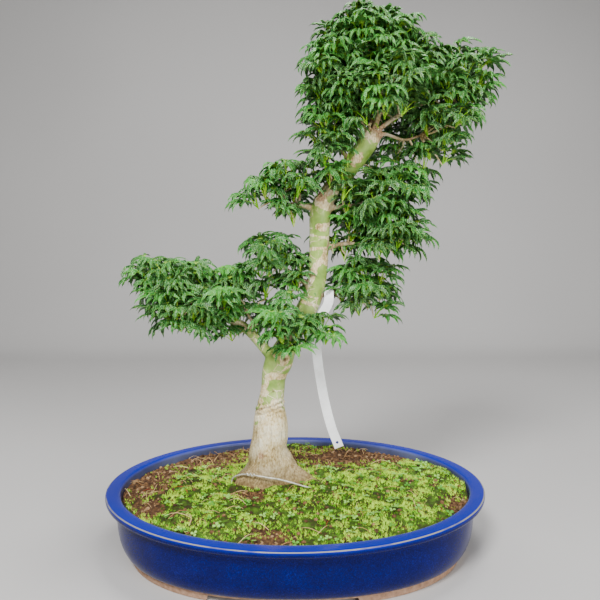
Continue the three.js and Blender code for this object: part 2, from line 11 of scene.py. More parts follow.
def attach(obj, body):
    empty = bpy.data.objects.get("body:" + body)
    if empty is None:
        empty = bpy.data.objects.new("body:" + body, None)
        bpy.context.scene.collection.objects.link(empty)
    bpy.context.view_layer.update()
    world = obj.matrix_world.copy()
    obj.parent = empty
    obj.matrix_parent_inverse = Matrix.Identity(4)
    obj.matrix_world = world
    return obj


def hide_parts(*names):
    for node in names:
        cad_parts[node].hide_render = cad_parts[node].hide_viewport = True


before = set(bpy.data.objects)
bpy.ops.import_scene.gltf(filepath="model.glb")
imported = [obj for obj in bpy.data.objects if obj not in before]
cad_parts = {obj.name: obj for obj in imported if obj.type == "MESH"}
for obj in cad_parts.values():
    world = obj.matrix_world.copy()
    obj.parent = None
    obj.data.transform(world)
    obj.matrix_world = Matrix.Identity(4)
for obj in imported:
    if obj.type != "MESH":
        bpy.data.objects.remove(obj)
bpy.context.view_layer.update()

# A Japanese maple bonsai of the lion's-mane kind in a shallow blue oval pot.
# Lists and sizes are in millimetres, and mm turns them into Blender's metres.
mm = 0.001
turn = 2 * math.pi
upright = Vector((0, 0, 1))


def report(stage):
    print("bonsai:", stage)


def deselectAll():
    if bpy.context.object and bpy.context.object.mode != "OBJECT":
        bpy.ops.object.mode_set(mode="OBJECT")
    bpy.ops.object.select_all(action="DESELECT")


def pick(piece):
    deselectAll()
    piece.select_set(True)
    bpy.context.view_layer.objects.active = piece


def applyModifier(piece, kind, **settings):
    modifier = piece.modifiers.new(kind.lower(), kind)
    for name, value in settings.items():
        setattr(modifier, name, value)
    pick(piece)
    bpy.ops.object.modifier_apply(modifier=modifier.name)


def smoothShade(piece, degrees):
    pick(piece)
    bpy.ops.object.shade_smooth_by_angle(angle=math.radians(degrees))


def readPoints(piece):
    points = np.empty(len(piece.data.vertices) * 3)
    piece.data.vertices.foreach_get("co", points)
    return points.reshape(-1, 3) / mm


def writePoints(piece, points):
    piece.data.vertices.foreach_set("co", (np.asarray(points) * mm).ravel())
    piece.data.update()


def putInScene(name, data):
    thing = bpy.data.objects.new(name, data)
    bpy.context.scene.collection.objects.link(thing)
    return thing


def meshPiece(name, points, faces):
    mesh = bpy.data.meshes.new(name)
    mesh.from_pydata([tuple(mm * c for c in point) for point in points], [], faces)
    mesh.update()
    return putInScene(name, mesh)


def storeValues(piece, **lists):
    for name, values in lists.items():
        attribute = piece.data.attributes.new(name, "FLOAT", "POINT")
        attribute.data.foreach_set("value", np.asarray(values, np.float32))


def startPiece(name, add, **settings):
    deselectAll()
    add(**settings)
    piece = bpy.context.object
    piece.name = piece.data.name = name
    bpy.ops.object.transform_apply()
    return piece


def turnOutwards():
    bpy.ops.mesh.select_all(action="SELECT")
    bpy.ops.mesh.normals_make_consistent(inside=False)
    bpy.ops.object.mode_set(mode="OBJECT")


def finishPiece(piece, material, slot, *nodes):
    piece.data.materials.clear()
    piece.data.materials.append(material)
    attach(piece, "root")
    if nodes:
        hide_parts(*nodes)


# Materials

def colour(hexCode):
    shares = [int(hexCode[i:i + 2], 16) / 255 for i in (1, 3, 5)]
    return (*[s / 12.92 if s <= 0.04045 else ((s + 0.055) / 1.055) ** 2.4 for s in shares], 1)


def perMetre(size):
    return 1 / (size * mm)


# A node stands for the first of its outputs that is in use
def linkInputs(node, links):
    for name, source in links.items():
        if isinstance(source, bpy.types.Node):
            source = next(output for output in source.outputs if output.enabled)
        node.id_data.links.new(source, node.inputs[name])


# Adds a node. Settings are inputs by name or number, or else the node's own properties.
def addNode(tree, kind, settings=None, links=None):
    node = tree.nodes.new("ShaderNode" + kind)
    for name, value in (settings or {}).items():
        if name == "stops":
            ramp = node.color_ramp.elements
            while len(ramp) < len(value):
                ramp.new(0.5)
            for stop, (place, hexCode) in zip(ramp, value):
                stop.position = place
                stop.color = colour(hexCode)
        elif isinstance(name, int) or name in node.inputs:
            node.inputs[name].default_value = value
        else:
            setattr(node, name, value)
    linkInputs(node, links or {})
    return node


# A material, its shader and the way to add nodes to it
def newMaterial(name, settings):
    material = bpy.data.materials.new(name)
    material.use_nodes = True
    shader = material.node_tree.nodes["Principled BSDF"]
    for key, value in settings.items():
        shader.inputs[key].default_value = value
    return material, shader, partial(addNode, material.node_tree)


# Stoneware with a thick cobalt glaze, fired glossy: deep blue, speckled, thin on the lip's edge.
# Below the glaze line the foot is bare tan clay.
def glazedStoneware():
    material, shader, add = newMaterial("glazed_stoneware",
        {"IOR": 1.5, "Specular IOR Level": 0.14})
    place = add("TexCoord").outputs["Object"]
    speckle = add("TexNoise", {"Scale": perMetre(1.5), "Detail": 3.0}, {"Vector": place})
    cloud = add("TexNoise", {"Scale": perMetre(30), "Detail": 4.0}, {"Vector": place})
    half = add("Math", {"operation": "MULTIPLY", 1: 0.3}, {0: cloud})
    blend = add("Math", {"operation": "MULTIPLY_ADD", 1: 1.1}, {0: speckle, 2: half})
    glaze = add("ValToRGB", {"stops": [(0.4, "#000334"), (0.62, "#000446"), (0.78, "#010658"),
        (1.0, "#041478")]}, {"Fac": blend})
    height = add("SeparateXYZ", {}, {"Vector": place}).outputs["Z"]
    # the rim's flat top is painted a lighter blue: a painted highlight where it faces the lights
    top = add("MapRange", {"From Min": 78 * mm, "From Max": 82 * mm}, {"Value": height})
    rimHighlightShare = add("Math", {"operation": "MULTIPLY", 1: 0.9}, {0: top})
    lighter = add("Mix", {"data_type": "RGBA", 7: colour("#001c9a")}, {0: rimHighlightShare, 6: glaze})
    # worn line along the lip's outer edge, where the glaze has drawn off
    wear = add("TexNoise", {"Scale": perMetre(60), "Detail": 5.0}, {"Vector": place})
    length, width = halfAxes(0)
    plan = add("VectorMath", {"operation": "MULTIPLY", 1: (perMetre(length), perMetre(width), 0)},
        {0: place})
    radius = add("VectorMath", {"operation": "LENGTH"}, {0: plan})
    lowLip = add("MapRange", {"From Min": 81.0 * mm, "From Max": 81.6 * mm}, {"Value": height})
    outerLip = add("MapRange", {"From Min": 0.9905, "From Max": 0.994}, {"Value": radius})
    lip = add("Math", {"operation": "MULTIPLY"}, {0: lowLip, 1: outerLip})
    wornShare = add("MapRange", {"From Min": 0.3, "From Max": 0.42}, {"Value": wear})
    wornLip = add("Math", {"operation": "MULTIPLY"}, {0: lip, 1: wornShare})
    worn = add("Mix", {"data_type": "RGBA", 7: colour("#8c897a")}, {0: wornLip, 6: lighter})
    # chalk left by watering on the inner wall
    inside = add("MapRange", {"From Min": 0.915, "From Max": 0.93, "To Min": 0.6, "To Max": 0.0},
        {"Value": radius})
    aboveLip = add("MapRange", {"From Min": 64 * mm, "From Max": 67 * mm}, {"Value": height})
    within = add("Math", {"operation": "MULTIPLY"}, {0: inside, 1: aboveLip})
    chalk = add("Math", {"operation": "MULTIPLY"}, {0: within, 1: wear})
    chalky = add("Mix", {"data_type": "RGBA", 7: colour("#8f97a6")}, {0: chalk, 6: worn})
    # bare clay on the foot
    grain = add("TexNoise", {"Scale": perMetre(5), "Detail": 6.0}, {"Vector": place})
    clay = add("ValToRGB", {"stops": [(0.3, "#8f7059"), (0.5, "#a3826a"), (0.7, "#b3937a")]},
        {"Fac": grain})
    wobble = add("Math", {"operation": "MULTIPLY_ADD", 1: 3 * mm}, {0: wear, 2: height})
    glazed = add("MapRange", {"From Min": 11.9 * mm, "From Max": 12.5 * mm}, {"Value": wobble})
    surface = add("Mix", {"data_type": "RGBA"}, {0: glazed, 6: clay, 7: chalky})
    rough = add("MapRange", {"To Min": 0.85, "To Max": 0.2}, {"Value": glazed})
    bump = add("Bump", {"Strength": 0.12, "Distance": 0.4 * mm}, {"Height": blend})
    linkInputs(shader, {"Base Color": surface, "Roughness": rough, "Normal": bump})
    return material


# Damp granular substrate: sieved lumps and rotted bark, matt and nearly black where wet.
def dampSubstrate():
    material, shader, add = newMaterial("damp_granular_substrate", {"IOR": 1.4})
    place = add("TexCoord").outputs["Object"]
    grit = add("TexNoise", {"Scale": perMetre(6), "Detail": 8.0, "Roughness": 0.7},
        {"Vector": place})
    tone = add("ValToRGB", {"stops": [(0.34, "#1a1009"), (0.47, "#49301c"), (0.56, "#7a5633"),
        (0.68, "#b08a5c")]}, {"Fac": grit})
    tint = add("Attribute", {"attribute_name": "tint"}).outputs["Fac"]
    crumbs = add("ValToRGB", {"stops": [(0.0, "#1c120a"), (0.4, "#533822"), (0.8, "#876440"),
        (1.0, "#c4a478")]}, {"Fac": tint})
    mixed = add("Mix", {"data_type": "RGBA", 0: 0.55}, {6: tone, 7: crumbs})
    rough = add("MapRange", {"To Min": 0.95, "To Max": 0.6}, {"Value": grit})
    bump = add("Bump", {"Strength": 0.8, "Distance": 1.5 * mm}, {"Height": grit})
    linkInputs(shader, {"Base Color": mixed, "Roughness": rough, "Normal": bump})
    return material


# Living cushion moss: thousands of tiny translucent leaves, yellow-green at the tips.
def livingMoss(name, stops, patchSize):
    material, shader, add = newMaterial(name,
        {"IOR": 1.4, "Roughness": 0.75, "Subsurface Weight": 0.12, "Subsurface Scale": 2 * mm})
    place = add("TexCoord").outputs["Object"]
    patch = add("TexNoise", {"Scale": perMetre(patchSize), "Detail": 6.0, "Roughness": 0.65},
        {"Vector": place})
    tint = add("Attribute", {"attribute_name": "tint"}).outputs["Fac"]
    share = add("Math", {"operation": "MULTIPLY_ADD", 1: 0.45}, {0: tint, 2: patch})
    tone = add("ValToRGB", {"stops": stops}, {"Fac": share})
    linkInputs(shader, {"Base Color": tone})
    return material


# Maple bark, grown: smooth and green while young, corky and grey-tan with age, brown at old cuts.
def mapleBark():
    material, shader, add = newMaterial("maple_bark", {"IOR": 1.42})
    place = add("TexCoord").outputs["Object"]
    age, hollow, cut = [add("Attribute", {"attribute_name": name}).outputs["Fac"]
        for name in ("age", "hollow", "cut")]
    drawn = add("VectorMath", {"operation": "MULTIPLY", 1: (1, 1, 0.5)}, {0: place})
    fine = add("TexNoise", {"Scale": perMetre(2.1), "Detail": 6.0, "Roughness": 0.6},
        {"Vector": drawn})
    broad = add("TexNoise", {"Scale": perMetre(26), "Detail": 5.0}, {"Vector": place})
    young = add("ValToRGB", {"stops": [(0.34, "#749638"), (0.5, "#9cb85a"), (0.66, "#c4d688")]},
        {"Fac": broad})
    weathered = add("Mix", {0: 0.5}, {2: fine, 3: broad})
    old = add("ValToRGB", {"stops": [(0.37, "#8a7040"), (0.44, "#ccb47c"), (0.52, "#eedcae"),
        (0.61, "#fff6d6")]}, {"Fac": weathered})
    dirty = add("ValToRGB", {"stops": [(0.32, "#544424"), (0.5, "#846e46"), (0.68, "#a69060")]},
        {"Fac": fine})
    # splashed soil darkens the foot
    height = add("SeparateXYZ", {}, {"Vector": place}).outputs["Z"]
    splash = add("MapRange", {"From Min": 86 * mm, "From Max": 150 * mm, "To Min": 1.0,
        "To Max": 0.0}, {"Value": height})
    old = add("Mix", {"data_type": "RGBA"}, {0: splash, 6: old, 7: dirty})
    # growth cracks, thin and corky, cross the young bark in places
    warped = add("VectorMath", {"operation": "MULTIPLY_ADD", 1: (0.012, 0.012, 0.012)},
        {0: broad.outputs["Color"], 2: place})
    cells = add("TexVoronoi", {"feature": "DISTANCE_TO_EDGE", "Scale": perMetre(17)},
        {"Vector": warped})
    crack = add("MapRange", {"From Min": 0.02, "From Max": 0.05, "To Min": 1.0, "To Max": 0.0},
        {"Value": cells})
    some = add("MapRange", {"From Min": 0.46, "From Max": 0.54}, {"Value": broad})
    cracked = add("Math", {"operation": "MULTIPLY"}, {0: crack, 1: some})
    # the old bark's edge is ragged
    ragged = add("Math", {"operation": "MULTIPLY_ADD", 1: 0.7}, {0: fine, 2: age})
    edged = add("MapRange", {"From Min": 0.72, "From Max": 0.9}, {"Value": ragged})
    corky = add("Math", {"operation": "MAXIMUM"}, {0: cracked, 1: edged})
    body = add("Mix", {"data_type": "RGBA"}, {0: corky, 6: young, 7: old})
    # painted shade: the bark is darkened in its fissures, ring and grain grooves and knot holes,
    # and thin limbs are made darker too
    shaded = add("Mix", {"data_type": "RGBA", 7: colour("#5c4629")}, {0: hollow, 6: body})
    heartwood = add("ValToRGB", {"stops": [(0.3, "#6e5238"), (0.5, "#a88763"), (0.68, "#d6b995")]},
        {"Fac": fine})
    whole = add("Mix", {"data_type": "RGBA"}, {0: cut, 6: shaded, 7: heartwood})
    rough = add("MapRange", {"To Min": 0.42, "To Max": 0.88}, {"Value": age})
    depth = add("Math", {"operation": "MULTIPLY"}, {0: fine, 1: corky})
    bump = add("Bump", {"Strength": 0.7, "Distance": 1.0 * mm}, {"Height": depth})
    linkInputs(shader, {"Base Color": whole, "Roughness": rough, "Normal": bump})
    return material


# Maple leaf: thin, folded and crinkled, deep green, with a painted highlight on the raised parts.
def mapleLeaf():
    material, shader, add = newMaterial("maple_leaf",
        {"IOR": 1.45, "Roughness": 0.36, "Specular IOR Level": 0.4, "Subsurface Weight": 0.05,
        "Subsurface Scale": 1.5 * mm})
    tint, along, across = [add("Attribute", {"attribute_name": name}).outputs["Fac"]
        for name in ("tint", "along", "across")]
    aside = add("Math", {"operation": "ABSOLUTE"}, {0: across})
    # side veins slant from the rib to the teeth, one every 2.4 mm
    slant = add("Math", {"operation": "MULTIPLY_ADD", 1: -0.06}, {0: aside, 2: along})
    phase = add("Math", {"operation": "MULTIPLY", 1: turn * leaf["reach"] / leaf["veinsApart"]},
        {0: slant})
    vein = add("Math", {"operation": "SINE"}, {0: phase})
    crease = add("MapRange", {"From Min": -1.0, "From Max": 1.0}, {"Value": vein})
    place = add("TexCoord").outputs["Object"]
    crinkle = add("TexNoise", {"Scale": perMetre(2.6), "Detail": 3.0}, {"Vector": place})
    relief = add("Math", {"operation": "MULTIPLY_ADD", 1: 0.45}, {0: crease, 2: crinkle})
    # the tint carries each leaf's own tone of green and, towards a puff's inside and underside,
    # painted shade
    blade = add("ValToRGB", {"stops": [(0.0, "#03220b"), (0.35, "#064010"), (0.7, "#126418"),
        (1.0, "#3a9a26")]}, {"Fac": tint})
    # painted highlight: the raised crinkles and the middle of each lobe, along its rib, are mixed
    # towards a pale green
    crest = add("Math", {"operation": "MULTIPLY_ADD", 1: -0.3}, {0: aside, 2: relief})
    paintedHighlight = add("MapRange", {"From Min": 0.62, "From Max": 0.95, "To Max": 0.68}, {"Value": crest})
    pale = add("Mix", {"data_type": "RGBA", 7: colour("#9cd680")}, {0: paintedHighlight, 6: blade})
    # lighter yellow-green margins: partly the leaf's own colour, partly a painted highlight on the
    # lit teeth
    rimShare = add("MapRange", {"From Min": 0.74, "To Max": 0.6}, {"Value": aside})
    rimmed = add("Mix", {"data_type": "RGBA", 7: colour("#94cc54")}, {0: rimShare, 6: pale})
    heart = add("MapRange", {"From Min": 0.0, "From Max": 0.16, "To Min": 0.8, "To Max": 0.0},
        {"Value": along})
    whole = add("Mix", {"data_type": "RGBA", 7: colour("#b4e03c")}, {0: heart, 6: rimmed})
    bump = add("Bump", {"Strength": 0.55, "Distance": 0.7 * mm}, {"Height": relief})
    linkInputs(shader, {"Base Color": whole, "Normal": bump})
    return material


# Tones that run into each other with a pattern of the given size, and roughness with them
def mottled(name, settings, size, detail, stops, roughness=None):
    material, shader, add = newMaterial(name, settings)
    place = add("TexCoord").outputs["Object"]
    pattern = add("TexNoise", {"Scale": perMetre(size), "Detail": detail}, {"Vector": place})
    tone = add("ValToRGB", {"stops": stops}, {"Fac": pattern})
    linkInputs(shader, {"Base Color": tone})
    if roughness:
        rough = add("MapRange", {"To Min": roughness[0], "To Max": roughness[1]},
            {"Value": pattern})
        linkInputs(shader, {"Roughness": rough})
    return material


# Leaf stalk: young, juicy and smooth, lime green with a little light passing through it.
def leafStalkSkin():
    juicy = {"IOR": 1.42, "Roughness": 0.4, "Subsurface Weight": 0.15, "Subsurface Scale": 2 * mm}
    return mottled("leaf_stalk_skin", juicy, 9, 3.0,
        [(0.32, "#7cd41c"), (0.5, "#a8ea2c"), (0.68, "#d0f45c")])


# Wire, drawn and annealed: soft grey metal with a dull oxide skin.
def drawnWire():
    return mottled("drawn_aluminium_wire", {"Metallic": 0.35}, 4, 5.0,
        [(0.35, "#b5b2a2"), (0.55, "#dcd9cb"), (0.7, "#f1efe4")], (0.35, 0.6))


# Polypropylene, extruded as film and punched: a smooth matt white label, a little soiled.
def labelFilm():
    return mottled("extruded_polypropylene", {"IOR": 1.49, "Roughness": 0.38}, 14, 6.0,
        [(0.3, "#f0f0ee"), (0.45, "#fafafa"), (0.6, "#ffffff")])


# Polyethylene mesh, extruded and black, which keeps the substrate in.
def screenPlastic():
    return mottled("extruded_polyethylene", {"IOR": 1.5, "Roughness": 0.55}, 6, 4.0,
        [(0.4, "#141518"), (0.65, "#3a3833")])


# Dead leaves, straws and bark chips that lie on the ground, dried matt.
def dryLitter():
    material, shader, add = newMaterial("dry_litter", {"IOR": 1.4, "Roughness": 0.8})
    tint = add("Attribute", {"attribute_name": "tint"}).outputs["Fac"]
    tone = add("ValToRGB", {"stops": [(0.0, "#8a5f38"), (0.35, "#c39a62"), (0.85, "#e6cc98"),
        (0.96, "#a83a1c")]}, {"Fac": tint})
    linkInputs(shader, {"Base Color": tone})
    return material


# Pot

pot = {
    "length": 530, "width": 422, "height": 82, "segments": 96,
    "rimSquareness": 2.0, "footSquareness": 2.3,
    "archLeft": -107, "archRight": 79, "archHeight": 7.5, "archSlope": 5,
    "drainX": 115, "drainRadius": 12, "floorMiddle": 15,
}
# inset from the rim's outer edge and height, from under the floor round the outside and back in
potProfile = [
    (46.5, 11), (45.6, 6), (45, 0.6), (44.2, 0), (35.8, 0), (35, 0.6), (34.5, 6), (34, 9.8),
    (31.5, 10.8), (29, 12), (26.4, 15), (23.4, 20), (20.4, 27), (18.2, 35), (16.8, 45),
    (15.8, 54), (15.2, 62), (14.6, 66.5), (13.2, 69.6), (10.6, 71.4), (7, 72.4), (3.8, 73.2),
    (1.6, 74.6), (0.4, 76.6), (0.05, 78.8), (0.05, 80.6), (0.5, 81.8), (1.8, 82.4), (5, 82.5),
    (10, 82.6), (15, 82.5), (18.6, 81.8), (20.6, 79.8),
    (21.2, 76.5), (22.2, 68), (23.6, 55), (25, 40), (27.6, 31), (31.6, 25), (37, 21.2), (44, 19.3),
]


def halfAxes(inset):
    return pot["length"] / 2 - inset, pot["width"] / 2 - inset


def squareOff(points):
    # the plan is an ellipse at the rim and grows a little squarer towards the foot
    for point in points:
        share = min(1, max(0, point[2] / pot["height"]))
        power = pot["footSquareness"] + share * (pot["rimSquareness"] - pot["footSquareness"])
        radius = math.hypot(point[0] / pot["length"], point[1] / pot["width"])
        if radius < 0.1:
            continue
        along = point[0] / pot["length"] / radius
        across = point[1] / pot["width"] / radius
        point[0] = math.copysign(abs(along) ** (2 / power), along) * radius * pot["length"]
        point[1] = math.copysign(abs(across) ** (2 / power), across) * radius * pot["width"]
    return points


def cutWith(piece, cutter):
    applyModifier(piece, "BOOLEAN", operation="DIFFERENCE", object=cutter, solver="EXACT")
    bpy.data.objects.remove(cutter)


def buildPot():
    inset, height = potProfile[0]
    body = startPiece("pot_body", bpy.ops.mesh.primitive_circle_add, vertices=pot["segments"],
        radius=1, fill_type="NGON", location=(0, 0, height * mm))
    bpy.ops.object.mode_set(mode="EDIT")
    bpy.ops.mesh.select_all(action="SELECT")
    length, width = halfAxes(inset)
    bpy.ops.transform.resize(value=(length * mm, width * mm, 1), center_override=(0, 0, 0))
    for nextInset, nextHeight in potProfile[1:]:
        rise = (nextHeight - height) * mm
        bpy.ops.mesh.extrude_region_move(TRANSFORM_OT_translate={"value": (0, 0, rise)})
        nextLength, nextWidth = halfAxes(nextInset)
        bpy.ops.transform.resize(value=(nextLength / length, nextWidth / width, 1),
            center_override=(0, 0, 0))
        length, width, height = nextLength, nextWidth, nextHeight
    bpy.ops.mesh.inset(thickness=0.03)
    bpy.ops.mesh.select_all(action="SELECT")
    bpy.ops.mesh.remove_doubles(threshold=0.01 * mm)
    turnOutwards()
    writePoints(body, squareOff(readPoints(body)))
    applyModifier(body, "SUBSURF", levels=1, render_levels=1)

    # the foot ring's arch, a little narrower at its top
    middle = (pot["archLeft"] + pot["archRight"]) / 2
    width = pot["archRight"] - pot["archLeft"]
    arch = startPiece("foot_arch", bpy.ops.mesh.primitive_cube_add, size=1,
        location=(middle * mm, 0, 0),
        scale=(width * mm, pot["width"] * 2 * mm, pot["archHeight"] * 2 * mm))
    bpy.ops.object.mode_set(mode="EDIT")
    shape = bmesh.from_edit_mesh(arch.data)
    for face in shape.faces:
        face.select = face.normal.z > 0.9
    bmesh.update_edit_mesh(arch.data)
    narrower = 1 - 2 * pot["archSlope"] / width
    bpy.ops.transform.resize(value=(narrower, 1, 1), center_override=(middle * mm, 0, 0))
    bpy.ops.object.mode_set(mode="OBJECT")
    cutWith(body, arch)
    for x in (-pot["drainX"], pot["drainX"]):
        drain = startPiece("drain_hole", bpy.ops.mesh.primitive_cylinder_add, vertices=40,
            radius=pot["drainRadius"] * mm, depth=2 * pot["floorMiddle"] * mm,
            location=(x * mm, 0, pot["floorMiddle"] * mm))
        cutWith(body, drain)
    smoothShade(body, 38)
    return body


# Ground: the same soft lumps, dome and bare patches as the solids have, with grit added

ground = {
    "soilEdge": 69, "soilCrown": 11, "soilLump": 1.6, "soilLumpSize": 21, "soilInset": 22.3,
    "soilCells": (140, 110), "grit": 1.3, "gritSize": 7,
    "mossThickness": 5.5, "mossLump": 1.1, "mossLumpSize": 13, "bareness": 2.1,
    "mossCells": (160, 126), "mossSwell": 1.4, "mossSwellSize": 16, "mossPile": 0.9,
    "mossPileSize": 4, "mossMat": 5, "trunkFoot": (-35, 8), "clearOfTrunk": 40,
    "crumbs": 2300, "crumbSizes": (1.0, 1.3, 1.7, 2.1, 2.8),
    "sprigs": 15000, "sprigSizes": (1.2, 2.9), "cushionSize": 17,
    "weeds": 420, "weedSizes": (2.4, 4.6), "clumpSize": 34,
    "straws": 170, "strawHalfLengths": (6, 17),
}
# centre x, y and half sizes
barePatches = [
    (-222, 15, 46, 75), (-140, 128, 95, 62), (62, 112, 78, 52), (172, 146, 84, 40),
    (-30, -160, 27, 22), (226, -70, 26, 34), (-190, -82, 20, 22), (-60, -50, 24, 16),
]


def lumps(x, y, scale):
    return (np.sin(x / scale + 1.3) * np.cos(y / (0.8 * scale))
        + 0.6 * np.sin((x + 1.7 * y) / (0.55 * scale)))


def soilTop(x, y):
    share = (2 * x / pot["length"]) ** 2 + (2 * y / pot["width"]) ** 2
    dome = ground["soilCrown"] * np.maximum(0, 1 - share)
    return ground["soilEdge"] + dome + ground["soilLump"] * lumps(x, y, ground["soilLumpSize"])


def mossRise(x, y):
    bare = sum(np.exp(-((x - px) / rx) ** 2 - ((y - py) / ry) ** 2)
        for px, py, rx, ry in barePatches)
    rise = ground["mossThickness"] * (1 - ground["bareness"] * bare)
    return rise + ground["mossLump"] * lumps(x, y, ground["mossLumpSize"])


def roughness(x, y, size, octaves, seed):
    return np.array([noise.fractal(Vector((a / size, b / size, seed)), 0.9, 2.0, octaves)
        for a, b in zip(np.ravel(x), np.ravel(y))])


def ovalGrid(name, inset, cells):
    piece = startPiece(name, bpy.ops.mesh.primitive_grid_add, x_subdivisions=cells[0],
        y_subdivisions=cells[1], size=2)
    points = readPoints(piece) * mm
    length, width = halfAxes(inset)
    x = points[:, 0] * np.sqrt(1 - points[:, 1] ** 2 / 2) * length
    y = points[:, 1] * np.sqrt(1 - points[:, 0] ** 2 / 2) * width
    return piece, x, y


def buildSoil():
    soil, x, y = ovalGrid("soil_bed", ground["soilInset"], ground["soilCells"])
    z = soilTop(x, y) + ground["grit"] * roughness(x, y, ground["gritSize"], 4, 3.1)
    writePoints(soil, np.column_stack([x, y, z]))
    storeValues(soil, tint=np.full(len(x), 0.35))
    pick(soil)
    bpy.ops.object.mode_set(mode="EDIT")
    # the bed's side, drawn in towards the pot's floor
    for height, share in ((40, 0.985), (24, 0.96)):
        bpy.ops.mesh.select_all(action="DESELECT")
        bpy.ops.mesh.select_non_manifold()
        bpy.ops.mesh.extrude_region_move(TRANSFORM_OT_translate={"value": (0, 0, 0)})
        shape = bmesh.from_edit_mesh(soil.data)
        for vertex in shape.verts:
            if vertex.select:
                vertex.co = (vertex.co.x * share, vertex.co.y * share, height * mm)
        bmesh.update_edit_mesh(soil.data)
    bpy.ops.mesh.edge_face_add()
    turnOutwards()
    return soil


# Copies of one small shape set down at places: (x, y, z), turn matrix, size and tint for each.
# A shade for each of the shape's points is added to the tint.
def scatter(name, points, faces, spots, shades=None):
    shape = np.array(points, float)
    shades = np.zeros(len(shape)) if shades is None else np.array(shades)
    allPoints, allFaces, tints = [], [], []
    for spot, matrix, size, tint in spots:
        start = len(allPoints) * len(shape)
        allPoints.append(shape @ np.array(matrix).T * size + np.array(spot))
        allFaces.extend([[start + i for i in face] for face in faces])
        tints.extend(tint + shades)
    piece = meshPiece(name, np.concatenate(allPoints), allFaces)
    storeValues(piece, tint=tints)
    return piece


def anyTurn(rng, tilt):
    spin = Matrix.Rotation(rng.uniform(0, turn), 3, "Z")
    lean = Matrix.Rotation(rng.uniform(-tilt, tilt), 3, "X")
    return lean @ spin


# Places on the ground where the moss's rise suits: x, y and the height of what lies there
def groundSpots(rng, count, wanted):
    length, width = halfAxes(ground["soilInset"] + 3)
    footX, footY = ground["trunkFoot"]
    found = []
    while len(found) < count:
        x = rng.uniform(-length, length)
        y = rng.uniform(-width, width)
        if (x / length) ** 2 + (y / width) ** 2 > 1:
            continue
        if math.hypot(x - footX, y - footY) < ground["clearOfTrunk"]:
            continue
        rise = float(mossRise(x, y))
        if wanted(rise, rng):
            found.append((x, y, float(soilTop(x, y)) + max(0, rise)))
    return found


def buildCrumbs():
    rng = random.Random(5)
    crumb = startPiece("crumb", bpy.ops.mesh.primitive_ico_sphere_add, subdivisions=1, radius=1)
    points = [(v.co.x * 1.2, v.co.y, v.co.z * 0.8) for v in crumb.data.vertices]
    faces = [tuple(face.vertices) for face in crumb.data.polygons]
    bpy.data.objects.remove(crumb)
    spots = []
    for x, y, z in groundSpots(rng, ground["crumbs"],
            lambda rise, r: rise < 1.5 or r.random() < 0.16):
        size = rng.choice(ground["crumbSizes"])
        spots.append(((x, y, z + 0.3 * size), anyTurn(rng, 1.5), size, rng.random()))
    return scatter("soil_crumbs", points, faces, spots)


def buildMoss():
    moss, x, y = ovalGrid("moss_bed", ground["soilInset"] + 0.6, ground["mossCells"])
    swell = roughness(x, y, ground["mossSwellSize"], 3, 7.7)
    pile = roughness(x, y, ground["mossPileSize"], 3, 1.9)
    rise = mossRise(x, y) + ground["mossSwell"] * swell
    z = soilTop(x, y) + rise + ground["mossPile"] * pile
    writePoints(moss, np.column_stack([x, y, z]))
    storeValues(moss, tint=0.15 + 0.05 * np.clip(rise, 0, 6))
    pick(moss)
    bpy.ops.object.mode_set(mode="EDIT")
    # no carpet on the bare patches
    shape = bmesh.from_edit_mesh(moss.data)
    low = [v for v in shape.verts if rise[v.index] < -0.6]
    bmesh.ops.delete(shape, geom=low, context="VERTS")
    bmesh.update_edit_mesh(moss.data)
    bpy.ops.object.mode_set(mode="OBJECT")
    applyModifier(moss, "SOLIDIFY", thickness=ground["mossMat"] * mm, offset=-1)
    smoothShade(moss, 60)
    return moss


def spikeFaces(start):
    return [(start, start + 1, start + 3), (start + 1, start + 2, start + 3),
        (start + 2, start, start + 3), (start, start + 2, start + 1)]


# A moss sprig: a short stem's whorl of pointed leaves, each a thin three-sided spike
def buildSprigs():
    rng = random.Random(8)
    points, faces = [], []
    for k in range(4):
        angle = k * turn / 4
        ahead = Vector((math.cos(angle), math.sin(angle), 0))
        side = Vector((-ahead.y, ahead.x, 0))
        start = len(points)
        root = ahead * 0.1
        tip = ahead * (0.38 + 0.25 * (k % 2)) + upright * (0.95 + 0.4 * (k % 3))
        points += [root + side * 0.15, root - side * 0.15, root + upright * 0.4, tip]
        faces += spikeFaces(start)
    spots = []
    for x, y, z in groundSpots(rng, ground["sprigs"], lambda rise, r: rise > r.uniform(-5, 2)):
        # the shoots grow in cushions, taller and lighter in their middle
        across = ground["cushionSize"]
        patch = noise.fractal(Vector((x / across, y / across, 4.4)), 0.7, 2, 3)
        if patch < -0.22:
            continue
        size = rng.uniform(*ground["sprigSizes"]) * (1 + 0.7 * patch)
        tint = 0.35 + 0.9 * patch + 0.5 * rng.random()
        spots.append(((x, y, z - 0.5), anyTurn(rng, 0.45), size, tint))
    return scatter("moss_sprigs", points, faces, spots, [-0.4, -0.4, -0.1, 0.4] * 4)


